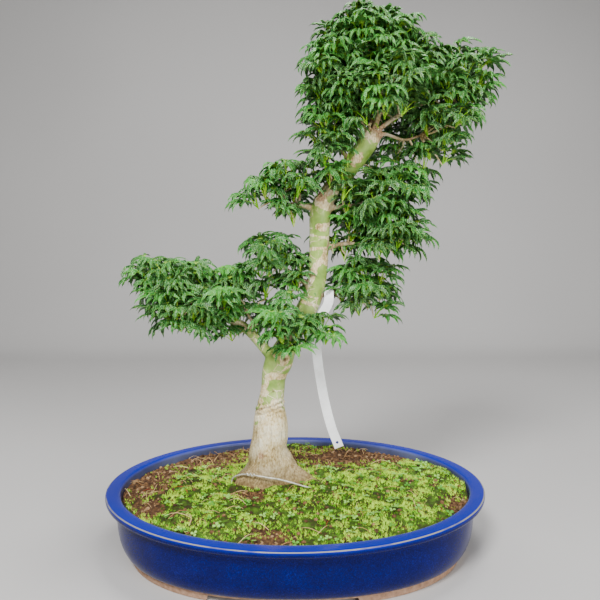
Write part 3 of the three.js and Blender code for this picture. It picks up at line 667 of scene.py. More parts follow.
# Small weeds in the moss: three round leaflets on a stalk
def buildWeeds():
    rng = random.Random(21)
    points, faces = [], []
    for k in range(3):
        angle = k * turn / 3
        ahead = Vector((math.cos(angle), math.sin(angle), 0.1))
        side = Vector((-math.sin(angle), math.cos(angle), 0))
        start = len(points)
        outline = [(0.05, 0), (0.5, 0.42), (0.95, 0.38), (1.15, 0), (0.95, -0.38), (0.5, -0.42)]
        for lift in (0.06, -0.06):
            for reach, wide in outline:
                fold = 0.35 * abs(wide)
                points.append(ahead * reach + side * wide + upright * (lift + fold + 1))
        faces.append(tuple(start + i for i in range(6)))
        faces.append(tuple(start + 6 + i for i in reversed(range(6))))
        faces += [(start + (i + 1) % 6, start + i, start + 6 + i, start + 6 + (i + 1) % 6)
            for i in range(6)]
    start = len(points)
    for angle in (0, turn / 3, 2 * turn / 3):
        points.append((0.07 * math.cos(angle), 0.07 * math.sin(angle), -0.6))
    points.append((0, 0, 1.05))
    faces += spikeFaces(start)
    spots = []
    for x, y, z in groundSpots(rng, ground["weeds"], lambda rise, r: rise > r.uniform(-1, 4)):
        clump = noise.noise(Vector((x / ground["clumpSize"], y / ground["clumpSize"], 9.1)))
        if clump < 0 and rng.random() < 0.7:
            continue
        way = anyTurn(rng, 0.5)
        spots.append(((x, y, z), way, rng.uniform(*ground["weedSizes"]), rng.random()))
    return scatter("ground_weeds", points, faces, spots)


# Dry straws that arch over the ground, with a few reddish scraps
def buildLitter():
    rng = random.Random(33)
    points, faces = [], []
    arch = [(t / 2 - 1, 0.18 * math.sin(0.65 * t), 0.34 * math.sin(math.pi * t / 4), 0.024)
        for t in range(5)]
    tube(arch, 5, roundSection, points, faces)
    spots = []
    for x, y, z in groundSpots(rng, ground["straws"], lambda rise, r: rise < r.uniform(0, 9)):
        lean = Matrix.Rotation(rng.uniform(-0.5, 0.5), 3, "X")
        matrix = Matrix.Rotation(rng.uniform(0, turn), 3, "Z") @ lean
        size = rng.uniform(*ground["strawHalfLengths"])
        spots.append(((x, y, z + 1.2), matrix, size, rng.random()))
    return scatter("dry_straws", points, faces, spots)


# Trunk and branches

# centre x, y, z and half widths across and along the view, from the root plug to the old cut
trunkStations = [
    (-35, 8, 54, 47, 40), (-35, 8, 80, 47, 40), (-35, 8, 88, 42, 36.5), (-35, 8, 97, 37, 33.5),
    (-36, 8, 108, 33, 31), (-38, 7, 120, 29.3, 28), (-38, 7, 132, 26.2, 26),
    (-36, 6, 146, 25.2, 24.8), (-35, 5, 162, 24.8, 24.4), (-35, 4, 176, 23, 22.6),
    (-34.5, 3, 190, 19.8, 20), (-32.5, 2, 208, 17.3, 18), (-30, 0, 229, 16.7, 17.4),
    (-28, -1, 242, 18, 17.8), (-22, -2, 256, 19.5, 18), (-12, -3, 278, 15.6, 15.8),
    (-1, -5, 301, 14.8, 15), (15, -7, 326, 15, 14.8), (26, -9, 350, 14, 14),
    (31.5, -11, 372, 12.8, 13), (33.5, -13, 392, 13, 13), (35, -16, 430, 13.5, 13.5),
    (36, -19, 460, 14.4, 14), (39.5, -21, 484, 10.6, 11),
]
# each limb's x, y, z and radius, the first one inside what it grows from
limbStations = [
    # leader with its cut top
    [(37, -20, 458, 11), (44, -22, 482, 12.4), (57, -23, 501, 12.2), (74, -25, 520, 12.6),
     (90, -28, 541, 13.4), (101, -30, 557, 13.4), (106, -31, 568, 12.6)],
    # low left branch and its side twigs
    [(-22, -1, 252, 10), (-38, 0, 269, 7.8), (-56, 1, 290, 7.2), (-72, 2, 305, 7),
     (-92, 3, 315, 5.8), (-118, 3, 326, 4.8), (-150, 0, 345, 3.2)],
    [(-60, 1, 294, 4), (-58, -3, 308, 2.9), (-66, -8, 326, 2.2)],
    [(-96, 3, 317, 3.6), (-112, -16, 330, 2.6), (-128, -34, 342, 2)],
    [(-88, 3, 314, 3.6), (-98, 22, 328, 2.6), (-112, 38, 340, 2)],
    # surface roots, right and front left
    [(-18, 1, 102, 14), (4, -3, 91, 12), (21, -5, 83, 8.5), (35, -7, 76, 5.5), (44, -8, 70, 4)],
    [(-52, -8, 100, 13), (-68, -12, 90, 11), (-80, -15, 81, 8), (-90, -17, 72, 5)],
    # lower centre, in front of the trunk
    [(-12, -12, 286, 4.2), (-14, -30, 295, 3), (-10, -46, 306, 2.2)],
    # tuft beside the label
    [(2, -12, 301, 4), (22, -27, 300, 2.6), (40, -36, 304, 2)],
    # lower right, which carries the label
    [(24, -9, 344, 5), (40, -5, 350, 3.4), (56, -2, 353, 3), (76, 0, 361, 2.8), (96, 2, 367, 2.2)],
    # middle left
    [(26, -10, 358, 5), (10, -9, 371, 3.5), (-8, -7, 384, 3), (-26, -5, 393, 2.2)],
    # middle right, below and above
    [(33, -15, 411, 5.4), (52, -12, 417, 3.7), (74, -11, 421, 3.3), (100, -13, 420, 2.8),
     (118, -15, 432, 2.2)],
    [(36, -20, 462, 5), (60, -24, 470, 3.2), (84, -22, 472, 2.8), (108, -20, 480, 2.2)],
    # upper left with its upright spurs
    [(35, -20, 466, 5.6), (12, -21, 473, 4.2), (-10, -22, 473, 3.6), (-28, -24, 476, 2.8),
     (-40, -25, 486, 2.2)],
    [(-12, -22, 473, 2.8), (-14, -23, 488, 2)],
    [(6, -21, 473, 2.6), (10, -25, 492, 1.9)],
    [(42, -24, 486, 4), (46, -40, 494, 2.6), (50, -48, 504, 2)],
    # from the cut top: right, up right, up, left, front and back
    [(104, -31, 561, 4), (122, -34, 564, 2.6), (146, -36, 556, 2.3), (168, -34, 562, 1.9)],
    [(104, -31, 563, 4.4), (124, -35, 578, 3.2), (150, -38, 594, 2.8), (182, -40, 606, 2.4),
     (210, -42, 620, 2)],
    [(105, -31, 563, 4.2), (104, -36, 590, 3.2), (100, -40, 622, 2.6), (96, -40, 646, 2)],
    [(101, -30, 562, 4), (86, -33, 586, 2.9), (66, -38, 612, 2.4), (54, -40, 628, 2)],
    [(80, -26, 528, 3.4), (62, -36, 544, 2.6), (50, -40, 562, 2)],
    [(105, -32, 563, 4.6), (112, -54, 590, 3.2), (112, -66, 608, 2.4)],
    [(106, -28, 563, 4.6), (112, -6, 590, 3.2), (110, 14, 612, 2.4)],
]
# the root flare's swellings: direction in degrees, share of the radius, half width in degrees
rootSwellings = [(232, 0.16, 26), (338, 0.3, 24), (285, -0.08, 22), (165, 0.2, 30), (75, 0.18, 34)]
# each pattern's size is given across and up the wood
wood = {
    "voxel": 1.6, "soilLevel": 80, "flareTop": 118, "stepsPerStation": 4, "trunkSides": 56,
    "limbSides": 18, "fissure": 0.4, "fissureSize": (3.4, 24), "fissuredTo": 206,
    "ripple": 0.5, "rippleSize": (13, 15), "grain": 0.35, "grainSize": (3.2, 3.6),
    "ring": 1.1, "ringPitch": 1.1, "ringHeight": 192, "ringSpan": 15, "ringsFrom": 176,
    "ringsTo": 212, "knotDepth": 1.5, "cutRoughness": 1.3, "twigRadius": 6.5,
    "oldBarkTop": 200, "oldBarkSlant": 0.4, "oldBarkWaver": 34, "oldBarkFade": 3.5,
}


def swelling(angle, z):
    fade = min(1, max(0, (wood["flareTop"] - z) / (wood["flareTop"] - wood["soilLevel"])))
    total = 0
    for direction, share, spread in rootSwellings:
        off = abs((angle - math.radians(direction) + 3 * math.pi) % turn - math.pi)
        total += share * math.exp(-(off / math.radians(spread)) ** 2)
    return 1 + fade * total


# A smooth curve through stations, each a tuple of a place and its sizes
def throughStations(stations, steps):
    rows = np.array(stations, float)
    padded = np.vstack([2 * rows[0] - rows[1], rows, 2 * rows[-1] - rows[-2]])
    found = []
    for i in range(len(rows) - 1):
        a, b, c, d = padded[i:i + 4]
        for k in range(steps):
            t = k / steps
            found.append(0.5 * (2 * b + (c - a) * t + (2 * a - 5 * b + 4 * c - d) * t ** 2
                + (3 * b - a - 3 * c + d) * t ** 3))
    found.append(rows[-1])
    return found


def tube(stations, sides, section, points, faces):
    centres = [Vector(station[:3]) for station in stations]
    side = None
    start = len(points)
    for i, centre in enumerate(centres):
        run = (centres[min(i + 1, len(centres) - 1)] - centres[max(i - 1, 0)]).normalized()
        if side is None:
            side = Vector((0, 1, 0)).cross(run)
            if side.length < 0.2:
                side = Vector((1, 0, 0)).cross(run)
        side = (side - run * side.dot(run)).normalized()
        across = run.cross(side)
        for k in range(sides):
            angle = k * turn / sides
            reachSide, reachAcross = section(stations[i], angle)
            points.append(centre + side * reachSide * math.cos(angle)
                + across * reachAcross * math.sin(angle))
    for r in range(len(centres) - 1):
        for k in range(sides):
            a = start + r * sides + k
            b = start + r * sides + (k + 1) % sides
            faces.append((a, b, b + sides, a + sides))
    last = start + (len(centres) - 1) * sides
    faces.append(tuple(start + k for k in reversed(range(sides))))
    faces.append(tuple(last + k for k in range(sides)))


def trunkSection(station, angle):
    share = swelling(angle, station[2])
    return station[3] * share, station[4] * share


def roundSection(station, angle):
    return station[3], station[3]


# Patches of old bark on the green part: centre x, z and half sizes, tilt in degrees
tanPatches = [
    (33, 414, 20, 1.6, 4), (36, 442, 12, 6, 20), (38, 474, 14, 7, -20), (27, 382, 31, 4.6, 62),
    (16, 350, 17, 2, -14), (20, 339, 15, 2, -16), (6, 318, 12, 2.4, 10), (-20, 236, 24, 5, -4),
    (103, 560, 17, 6, -34), (80, 524, 9, 2, -40),
    (-20, 282, 6, 3, 20), (44, 398, 4, 7, 10), (-44, 214, 8, 6, 40), (62, 506, 7, 4, 30),
    (84, 530, 6, 9, -30), (52, 492, 11, 2, -35), (-50, 282, 4, 9, 40), (-74, 306, 4, 12, 60),
    (-13, 261, 8, 7, 0), (-42, 222, 4, 9, -20), (-8, 250, 12, 1.6, 30), (-24, 264, 10, 1.8, -30),
    (34, 430, 20, 1.5, -10), (2, 306, 16, 1.6, -30),
]
# Old cuts and dark knots: centre and radius
cuts = [(37, -29, 484, 9), (108, -31, 570, 15), (-47, -17, 125, 5)]
knots = [(-13, -20, 261, 3.4), (36, -31, 425, 2), (-30, -15, 216, 1.8)]


# 1 well below zero, 0 well above it
def fadeOut(value):
    return 1 / (1 + math.exp(min(60, value)))


# How far a spot lies within one of some balls with a soft edge
def covered(spot, balls, sharpness, ragged):
    return max(fadeOut(sharpness * ((Vector(centre) - Vector(spot)).length - reach + ragged))
        for *centre, reach in balls)


# How corky the bark is: at the foot up to a slanting ragged edge, in patches and on thin twigs
def barkAge(x, z, radius, wobble):
    slant = wood["oldBarkSlant"] * (x - ground["trunkFoot"][0])
    above = z - wood["oldBarkTop"] - slant + wood["oldBarkWaver"] * wobble
    age = fadeOut(above / wood["oldBarkFade"])
    for px, pz, across, up, tilt in tanPatches:
        c, s = math.cos(math.radians(tilt)), math.sin(math.radians(tilt))
        a, b = (x - px) * c + (z - pz) * s, (z - pz) * c - (x - px) * s
        reach = (a / across) ** 2 + (b / up) ** 2
        age = max(age, fadeOut(9 * (reach - 1 + 1.3 * wobble)))
    if radius < wood["twigRadius"]:
        age = max(age, min(1, (wood["twigRadius"] - radius) / 2.2) * (0.75 + 0.25 * wobble))
    return age


def unevenness(x, y, z, sizes, dimension, lacunarity, octaves):
    across, up = sizes
    return noise.fractal(Vector((x / across, y / across, z / up)), dimension, lacunarity, octaves)


def buildWood():
    points, faces = [], []
    trunk = throughStations(trunkStations, wood["stepsPerStation"])
    tube(trunk, wood["trunkSides"], trunkSection, points, faces)
    centres = [(row[:3], (row[3] + row[4]) / 2) for row in trunk]
    for stations in limbStations:
        limb = throughStations(stations, wood["stepsPerStation"])
        tube(limb, wood["limbSides"], roundSection, points, faces)
        # the first stretch lies inside what it grows from and keeps that bark
        centres += [(row[:3], row[3]) for row in limb[wood["stepsPerStation"]:]]
    piece = meshPiece("maple_wood", points, faces)
    applyModifier(piece, "REMESH", mode="VOXEL", voxel_size=wood["voxel"] * mm)
    applyModifier(piece, "SMOOTH", factor=0.6, iterations=5)

    tree = kdtree.KDTree(len(centres))
    for i, (centre, radius) in enumerate(centres):
        tree.insert(Vector(centre), i)
    tree.balance()
    spots = readPoints(piece)
    normals = np.empty(len(spots) * 3)
    piece.data.vertex_normals.foreach_get("vector", normals)
    normals = normals.reshape(-1, 3)
    moved, ages, hollows, cutShares = [], [], [], []
    for spot, normal in zip(spots, normals):
        x, y, z = spot
        index = tree.find(Vector(spot))[1]
        centre, radius = centres[index]
        wobble = unevenness(x, y, z, wood["rippleSize"], 0.8, 2.0, 4)
        age = barkAge(x, z, radius, wobble)
        angle = math.atan2(y - centre[1], x - centre[0])
        ridges = unevenness(radius * math.cos(angle), radius * math.sin(angle), z,
            wood["fissureSize"], 0.8, 2.1, 4)
        grain = unevenness(x, y, z, wood["grainSize"], 0.7, 2.0, 3)
        low = max(0, min(1, (wood["fissuredTo"] - z) / 50))
        # oblique rings where the bulge ends
        rings = 0
        if wood["ringsFrom"] < z < wood["ringsTo"]:
            rings = math.sin((z - 0.34 * x) / wood["ringPitch"] + 3 * wobble)
            off = z - 0.25 * (x - ground["trunkFoot"][0]) - wood["ringHeight"]
            rings *= max(0, 1 - abs(off) / wood["ringSpan"])
        push = wood["fissure"] * low * ridges + wood["grain"] * age * grain
        push += wood["ring"] * rings
        push += wood["ripple"] * wobble * min(1, radius / 12)
        cutShare = covered(spot, cuts, 1.5, 2 * grain)
        hole = covered(spot, knots, 2.5, 0)
        push -= wood["knotDepth"] * hole
        push += cutShare * wood["cutRoughness"] * grain
        moved.append(spot + normal * push)
        ages.append(age)
        # the hollow value: painted shade in fissures, ring and grain grooves and knot holes; thin
        # limbs are also made darker
        twiggy = min(0.55, max(0, (6 - radius) / 4))
        hollows.append(max(twiggy, hole,
            min(0.7, -0.6 * low * ridges - 0.8 * rings - 0.2 * age * grain)))
        cutShares.append(cutShare)
    writePoints(piece, np.array(moved))
    storeValues(piece, age=ages, hollow=hollows, cut=cutShares)
    smoothShade(piece, 80)
    return piece


# Foliage

leaf = {"reach": 32.5, "sizes": (0.7, 1.08), "thickness": 0.45, "variants": 12,
        "stalk": (19, 31), "stalkRadius": 0.55, "stalkLean": (0.3, 0.8), "pairsApart": 3,
        "veinsApart": 2.4, "perShoot": (5, 6, 6, 7), "spacing": 17.8, "tries": 11000,
        "reachAside": 24, "reachUp": 29, "reachDown": -6, "least": 9}
# lobe direction in degrees, length, half width and rows of points along it
lobes = [(0, 1, 0.1, 7), (-38, 0.97, 0.098, 7), (38, 0.97, 0.098, 7), (-78, 0.84, 0.09, 5),
    (78, 0.84, 0.09, 5), (-126, 0.54, 0.074, 3), (126, 0.54, 0.074, 3)]
lobeTaper = [0.26, 0.7, 1, 0.95, 0.7, 0.42, 0]
# each pad's seed, the size of its leaves and its puffs: centre and half sizes
pads = [
    ("apex", 11, 1, [
        (98, -40, 673, 74, 62, 50), (160, -34, 654, 46, 48, 42), (56, -40, 643, 46, 58, 56),
        (37, -42, 550, 34, 32, 28), (62, -42, 533, 26, 22, 22), (110, -62, 624, 64, 54, 56),
        (110, 0, 630, 66, 58, 58), (52, -42, 582, 40, 42, 38)]),
    ("top_right", 12, 1.04, [
        (204, -40, 608, 45, 48, 47), (226, -42, 640, 36, 40, 36), (190, -32, 567, 42, 38, 44),
        (190, -30, 562, 30, 30, 25), (140, -8, 542, 30, 32, 30), (176, -18, 521, 33, 32, 30),
        (136, 14, 566, 32, 28, 27), (162, 10, 574, 30, 28, 26), (112, 12, 530, 34, 26, 30)]),
    ("upper_left", 13, 1.05, [
        (-32, -27, 491, 42, 40, 30), (-2, -27, 505, 42, 42, 29), (48, -52, 516, 34, 26, 24),
        (2, -38, 498, 28, 28, 20), (60, -54, 498, 24, 20, 18), (66, -52, 518, 18, 16, 14),
        (4, -27, 460, 16, 15, 14)]),
    ("mid_right", 14, 1.14, [
        (126, -22, 488, 53, 50, 33), (128, -18, 442, 51, 46, 36), (78, 14, 462, 28, 30, 32),
        (74, -14, 442, 30, 30, 28), (66, -30, 480, 26, 24, 22), (72, -10, 410, 28, 26, 20),
        (84, -8, 402, 26, 26, 20), (120, -10, 408, 28, 28, 20), (58, -12, 422, 22, 22, 18)]),
    ("lower_right", 15, 1.12, [
        (110, 2, 368, 40, 42, 36), (76, 18, 368, 22, 24, 24), (98, 4, 342, 42, 38, 26),
        (64, 10, 350, 26, 26, 24)]),
    ("mid_left", 16, 1.08, [
        (-34, -4, 402, 44, 40, 30), (4, -14, 388, 30, 30, 28), (0, 6, 384, 28, 28, 22),
        (-46, -2, 362, 36, 36, 24), (-17, -8, 361, 22, 26, 20), (-42, 4, 340, 32, 32, 22)]),
    ("lower_left", 17, 1.06, [
        (-177, -4, 376, 52, 52, 32), (-148, -6, 337, 57, 58, 42), (-98, 0, 352, 52, 54, 34),
        (-84, 4, 314, 38, 36, 26), (-48, 14, 316, 28, 28, 24)]),
    ("lower_centre", 18, 1.14, [(-12, -54, 314, 42, 34, 38), (12, -52, 302, 30, 28, 28)]),
    ("label_tuft", 19, 1, [(40, -42, 312, 25, 20, 25)]),
]
# stretches of trunk that stay in sight: x, z at both ends and how far leaves keep away in front
clearStretches = [(118, 580, 84, 530, 17), (33, 462, 34, 392, 17), (34, 392, 16, 338, 14),
    (50, 356, 46, 338, 9), (34, 284, 34, 240, 12)]


# One leaf with its base at the origin, facing +X and up, of length 1. Each lobe arches out and
# down like a claw: a roof-shaped, toothed and crinkled closed body.
def leafShape(rng):
    points, faces, along, across = [], [], [], []
    half = leaf["thickness"] / leaf["reach"] / 2
    rise = rng.uniform(0.35, 1.0)
    fall = rng.uniform(0.85, 1.75)
    for direction, length, width, rows in lobes:
        angle = math.radians(direction * rng.uniform(0.86, 1.1) + rng.uniform(-8, 8))
        length *= rng.uniform(0.86, 1.08)
        sway = rng.uniform(-0.45, 0.45) - 0.2 * math.sin(angle)
        start = len(points)
        x = y = z = 0
        lobeFall = fall * rng.uniform(0.7, 1.25)
        for row in range(rows + 1):
            t = row / rows
            slope = rise - (rise + lobeFall) * t ** 1.15
            heading = angle + sway * t
            if row:
                step = length / rows
                x += step * math.cos(slope) * math.cos(heading)
                y += step * math.cos(slope) * math.sin(heading)
                z += step * math.sin(slope)
            if row == rows:
                points.append((x, y, z))
                along.append(length)
                across.append(0)
                continue
            taper = float(np.interp(6 * t, range(7), lobeTaper))
            halfWidth = width * taper * (1 + (0.26 if row % 2 else -0.22))
            sideX, sideY = -math.sin(heading), math.cos(heading)
            topX, topZ = -math.sin(slope), math.cos(slope)
            drop = halfWidth * rng.uniform(0.3, 1.15)
            ridge = half + rng.uniform(-0.012, 0.026)
            for side, lift in ((halfWidth, -drop), (0, ridge), (-halfWidth, -drop)):
                points.append((x + sideX * side + topX * math.cos(heading) * lift,
                    y + sideY * side + topX * math.sin(heading) * lift, z + topZ * lift))
            along += [length * t] * 3
            across += [1, 0, -1]
        for row in range(rows - 1):
            a = start + 3 * row
            b = a + 3
            faces += [(a, a + 1, b + 1, b), (a + 1, a + 2, b + 2, b + 1), (a + 2, a, b, b + 2)]
        a = start + 3 * (rows - 1)
        tip = start + 3 * rows
        faces += [(a, a + 1, tip), (a + 1, a + 2, tip), (a + 2, a, tip),
            (start + 2, start + 1, start)]
    return np.array(points), faces, along, across


# The part of a puff where shoot tips may sit, so that their leaves end at its surface
def tipRoom(puff):
    x, y, z, rx, ry, rz = puff
    least = leaf["least"]
    lower = (leaf["reachUp"] - leaf["reachDown"]) / 2
    shorter = (leaf["reachUp"] + leaf["reachDown"]) / 2
    return (x, y, z - lower, max(least, rx - leaf["reachAside"]),
        max(least, ry - leaf["reachAside"]), max(least, rz - shorter))


# Shoot tips spread evenly through a pad's puffs, each with the way out from the puff's middle
def shootPlaces(puffs, rng):
    rooms = [tipRoom(puff) for puff in puffs]
    volumes = [room[3] * room[4] * room[5] for room in rooms]
    places = []
    for _ in range(leaf["tries"]):
        x, y, z, rx, ry, rz = rng.choices(rooms, volumes)[0]
        share = Vector([rng.gauss(0, 1) for _ in range(3)]).normalized()
        share *= rng.uniform(0.25, 1) ** 0.5
        place = Vector((x + share.x * rx, y + share.y * ry, z + share.z * rz))
        if all((place - other).length > leaf["spacing"] for other, _ in places):
            places.append((place, share))
    return places


def coversTrunk(place):
    if place.y > -8:
        return False
    for ax, az, bx, bz, clear in clearStretches:
        run = Vector((bx - ax, bz - az))
        off = Vector((place.x - ax, place.z - az))
        share = min(1, max(0, off.dot(run) / run.length_squared))
        if (off - run * share).length < clear:
            return True
    return False


def buildFoliage(woodEnds):
    rng = random.Random(41)
    variants = [leafShape(rng) for _ in range(leaf["variants"])]
    stalkPoints, stalkFaces, twigPoints, twigFaces = [], [], [], []
    pieces = []
    leafTotal = 0
    for name, seed, vigour, puffs in pads:
        rng = random.Random(seed)
        allPoints, allFaces, tints, along, across = [], [], [], [], []
        size = 0
        for place, out in shootPlaces(puffs, rng):
            # shoots grow upwards and out, flatter at a pad's underside
            lift = 0.9 + 0.65 * min(0, out.z)
            stem = Vector((out.x * 0.5, out.y * 0.5, lift)).normalized()
            side = stem.orthogonal().normalized()
            side.rotate(Matrix.Rotation(rng.uniform(0, turn), 3, stem))
            other = stem.cross(side)
            growTwig(place, woodEnds, rng, twigPoints, twigFaces)
            freshness = rng.random()
            for k in range(rng.choice(leaf["perShoot"])):
                # leaves stand in pairs up the shoot
                around = k * turn / 4 + (k // 4) * turn / 8 + rng.uniform(-0.35, 0.35)
                level = k // 2
                radial = side * math.cos(around) + other * math.sin(around)
                lean = rng.uniform(*leaf["stalkLean"]) - 0.1 * level
                away = (stem + radial * lean).normalized()
                node = place + stem * (leaf["pairsApart"] * level)
                length = rng.uniform(*leaf["stalk"]) * (1 + 0.35 * min(0, out.z))
                base = node + away * length
                flat = Vector((radial.x + out.x * 0.4, radial.y + out.y * 0.4, 0)).normalized()
                if coversTrunk(base + flat * 12):
                    continue
                bend = upright * length * 0.1
                tube([(*node, 0.85), (*(node + away * length * 0.5 + bend), leaf["stalkRadius"]),
                    (*base, leaf["stalkRadius"] * 0.8)], 4, roundSection, stalkPoints, stalkFaces)
                # the blade droops, turns a little aside and faces up
                ahead = (flat + Vector((0, 0, 0.2 - 0.7 * rng.random()))).normalized()
                ahead.rotate(Matrix.Rotation(rng.uniform(-0.5, 0.5), 3, "Z"))
                up = Vector((out.x * 0.3 + rng.uniform(-0.3, 0.3),
                    out.y * 0.3 + rng.uniform(-0.3, 0.3), 1))
                leafSide = up.cross(ahead).normalized()
                up = ahead.cross(leafSide)
                matrix = np.array([ahead, leafSide, up])
                shape, faces, shapeAlong, shapeAcross = variants[rng.randrange(len(variants))]
                scale = leaf["reach"] * vigour * rng.uniform(*leaf["sizes"])
                allPoints.append(shape @ matrix * scale + np.array(base))
                allFaces += [[size + i for i in face] for face in faces]
                size += len(shape)
                tint = 0.4 * freshness + 0.45 * rng.random()
                # painted shade: leaves deep in a puff and on its underside get a darker tint, those
                # on its outside and top a lighter one
                tint = min(1, max(0, tint + 0.25 * (out.length - 0.5) + 0.1 * out.z))
                tints += [tint] * len(shape)
                along += shapeAlong
                across += shapeAcross
                leafTotal += 1
        piece = meshPiece("leaves_" + name, np.concatenate(allPoints), allFaces)
        storeValues(piece, tint=tints, along=along, across=across)
        smoothShade(piece, 75)
        pieces.append((piece, "foliage_" + name))
    stalks = meshPiece("leaf_stalks", stalkPoints, stalkFaces)
    twigs = meshPiece("fine_twigs", twigPoints, twigFaces)
    for piece in (stalks, twigs):
        smoothShade(piece, 70)
    storeValues(twigs, age=np.full(len(twigPoints), 0.9))
    report(f"{leafTotal} leaves")
    return pieces, stalks, twigs


# A thin twig from the nearest branch to a shoot, with a slight zigzag
def growTwig(place, woodEnds, rng, points, faces):
    nearest = min(woodEnds, key=lambda end: (Vector(end[:3]) - place).length
        + 0.4 * abs(end[2] - place.z))
    start = Vector(nearest[:3])
    reach = (place - start).length
    stations = [(*start, min(nearest[3] * 0.8, 1.9))]
    for share in (0.35, 0.7):
        jitter = Vector([rng.uniform(-0.08, 0.08) * reach for _ in range(3)])
        middle = start.lerp(place, share) + jitter + upright * 0.05 * reach
        stations.append((*middle, 1.6 - share))
    stations.append((*place, 0.95))
    tube(stations, 5, roundSection, points, faces)


# Wire, label and drain screens

wire = {"radius": 1.12, "twist": 1.5, "twistFrom": -68, "twistTo": -54}
# from the soil at the left over the root flare to the soil at the right
wireRoute = [(-92, -8, 72), (-89, -12, 90), (-78, -21, 99), (-68, -26, 101.5), (-61, -29, 102),
             (-54, -31, 101.5), (-38, -34.5, 100), (-21, -35.5, 97.5), (-6, -35.5, 93.5),
             (8, -34, 88.5), (24, -31.5, 83), (35, -30, 78.5), (39, -29, 68)]


def buildWire():
    route = []
    for row in throughStations(wireRoute, 5):
        if wire["twistFrom"] < row[0] < wire["twistTo"]:
            phase = turn * (row[0] - wire["twistFrom"]) / 5
            row = row + wire["twist"] * np.array([0, math.cos(phase), math.sin(phase)])
        route.append(Vector(row))
    curve = bpy.data.curves.new("tie_wire_line", "CURVE")
    curve.dimensions = "3D"
    curve.bevel_depth = wire["radius"] * mm
    curve.bevel_resolution = 2
    curve.resolution_u = 3
    curve.use_fill_caps = True
    spline = curve.splines.new("BEZIER")
    spline.bezier_points.add(len(route) - 1)
    for knot, place in zip(spline.bezier_points, route):
        knot.co = place * mm
        knot.handle_left_type = knot.handle_right_type = "AUTO"
    pick(putInScene("tie_down_wire", curve))
    bpy.ops.object.convert(target="MESH")
    piece = bpy.context.object
    smoothShade(piece, 60)
    return piece


label = {"width": 13, "thickness": 0.8, "loopRadius": 11.4, "loopX": 48, "loopY": -4,
         "hangsFrom": 356.2, "holeRadius": 2.0, "holeAt": 0.975, "gap": 0.4,
         "bow": 1.6, "cup": 0.35, "forward": 0.3}
# middle line of the hanging strip: x and z
labelLine = [(48, 347), (46, 337), (38, 322), (32, 300), (31, 272), (35, 238), (42, 200), (51, 165),
    (62, 136)]


def buildLabel():
    outer = label["loopRadius"] + label["thickness"]
    front = label["loopY"] - outer
    strip = startPiece("loop_label", bpy.ops.mesh.primitive_grid_add, x_subdivisions=6,
        y_subdivisions=64, size=1)
    line = throughStations(labelLine, 8)
    points = readPoints(strip) * mm
    placed = []
    for u, v, _ in points:
        at = (0.5 - v) * (len(line) - 1)
        low = min(int(at), len(line) - 2)
        middle = line[low] + (line[low + 1] - line[low]) * (at - low)
        run = (line[low + 1] - line[low]) / np.linalg.norm(line[low + 1] - line[low])
        wide = u * label["width"]
        bow = label["bow"] * math.sin(math.pi * (0.5 - v)) + label["cup"] * (2 * u) ** 2
        depth = front + label["forward"] - bow
        placed.append((middle[0] - run[1] * wide, depth, middle[1] + run[0] * wide))
    writePoints(strip, placed)
    pick(strip)
    bpy.ops.object.mode_set(mode="EDIT")
    turnOutwards()
    applyModifier(strip, "SOLIDIFY", thickness=label["thickness"] * mm, offset=0)
    end = line[int(label["holeAt"] * (len(line) - 1))]
    punch = startPiece("punch", bpy.ops.mesh.primitive_cylinder_add, vertices=24,
        radius=label["holeRadius"] * mm, depth=20 * mm,
        location=(end[0] * mm, front * mm, end[1] * mm), rotation=(math.pi / 2, 0, 0))
    cutWith(strip, punch)
    centreZ = label["hangsFrom"] + label["gap"] - label["loopRadius"]
    loop = startPiece("label_loop", bpy.ops.mesh.primitive_cylinder_add, vertices=48,
        radius=outer * mm, depth=label["width"] * mm, end_fill_type="NOTHING",
        location=(label["loopX"] * mm, label["loopY"] * mm, centreZ * mm),
        rotation=(0, math.pi / 2, 0))
    applyModifier(loop, "SOLIDIFY", thickness=label["thickness"] * mm, offset=-1)
    pick(strip)
    loop.select_set(True)
    bpy.ops.object.join()
    applyModifier(strip, "BEVEL", width=0.18 * mm, segments=2, limit_method="ANGLE")
    smoothShade(strip, 35)
    return strip


screen = {"side": 44, "openings": 11, "bar": 1.1, "bottom": 19.4}


def buildScreen(name, x):
    piece = startPiece(name, bpy.ops.mesh.primitive_grid_add, x_subdivisions=screen["openings"],
        y_subdivisions=screen["openings"], size=screen["side"] * mm,
        location=(x * mm, 0, (screen["bottom"] + 0.5) * mm))
    applyModifier(piece, "WIREFRAME", thickness=screen["bar"] * mm, use_even_offset=False)
    return piece


# Studio: pale floor that rolls up behind, three soft lights and the camera at the photo's angle

studio = {
    "cameraPlace": (8, -841, 403), "pitchDown": 4.12, "roll": 0.3, "lens": 36, "sensor": 36,
    "floorHalf": 4.0, "wallStart": 1.6, "wallCurve": 0.55, "skyStrength": 0.28,
    "lightsAim": (0.02, 0, 0.36),
}
# each light's place in metres, size and power
softboxes = [("key", (-0.6, -1.7, 2.0), 0.6, 84), ("fill", (1.2, -2.0, 1.0), 1.2, 52),
    ("top", (0.3, 0.2, 2.4), 0.8, 34)]


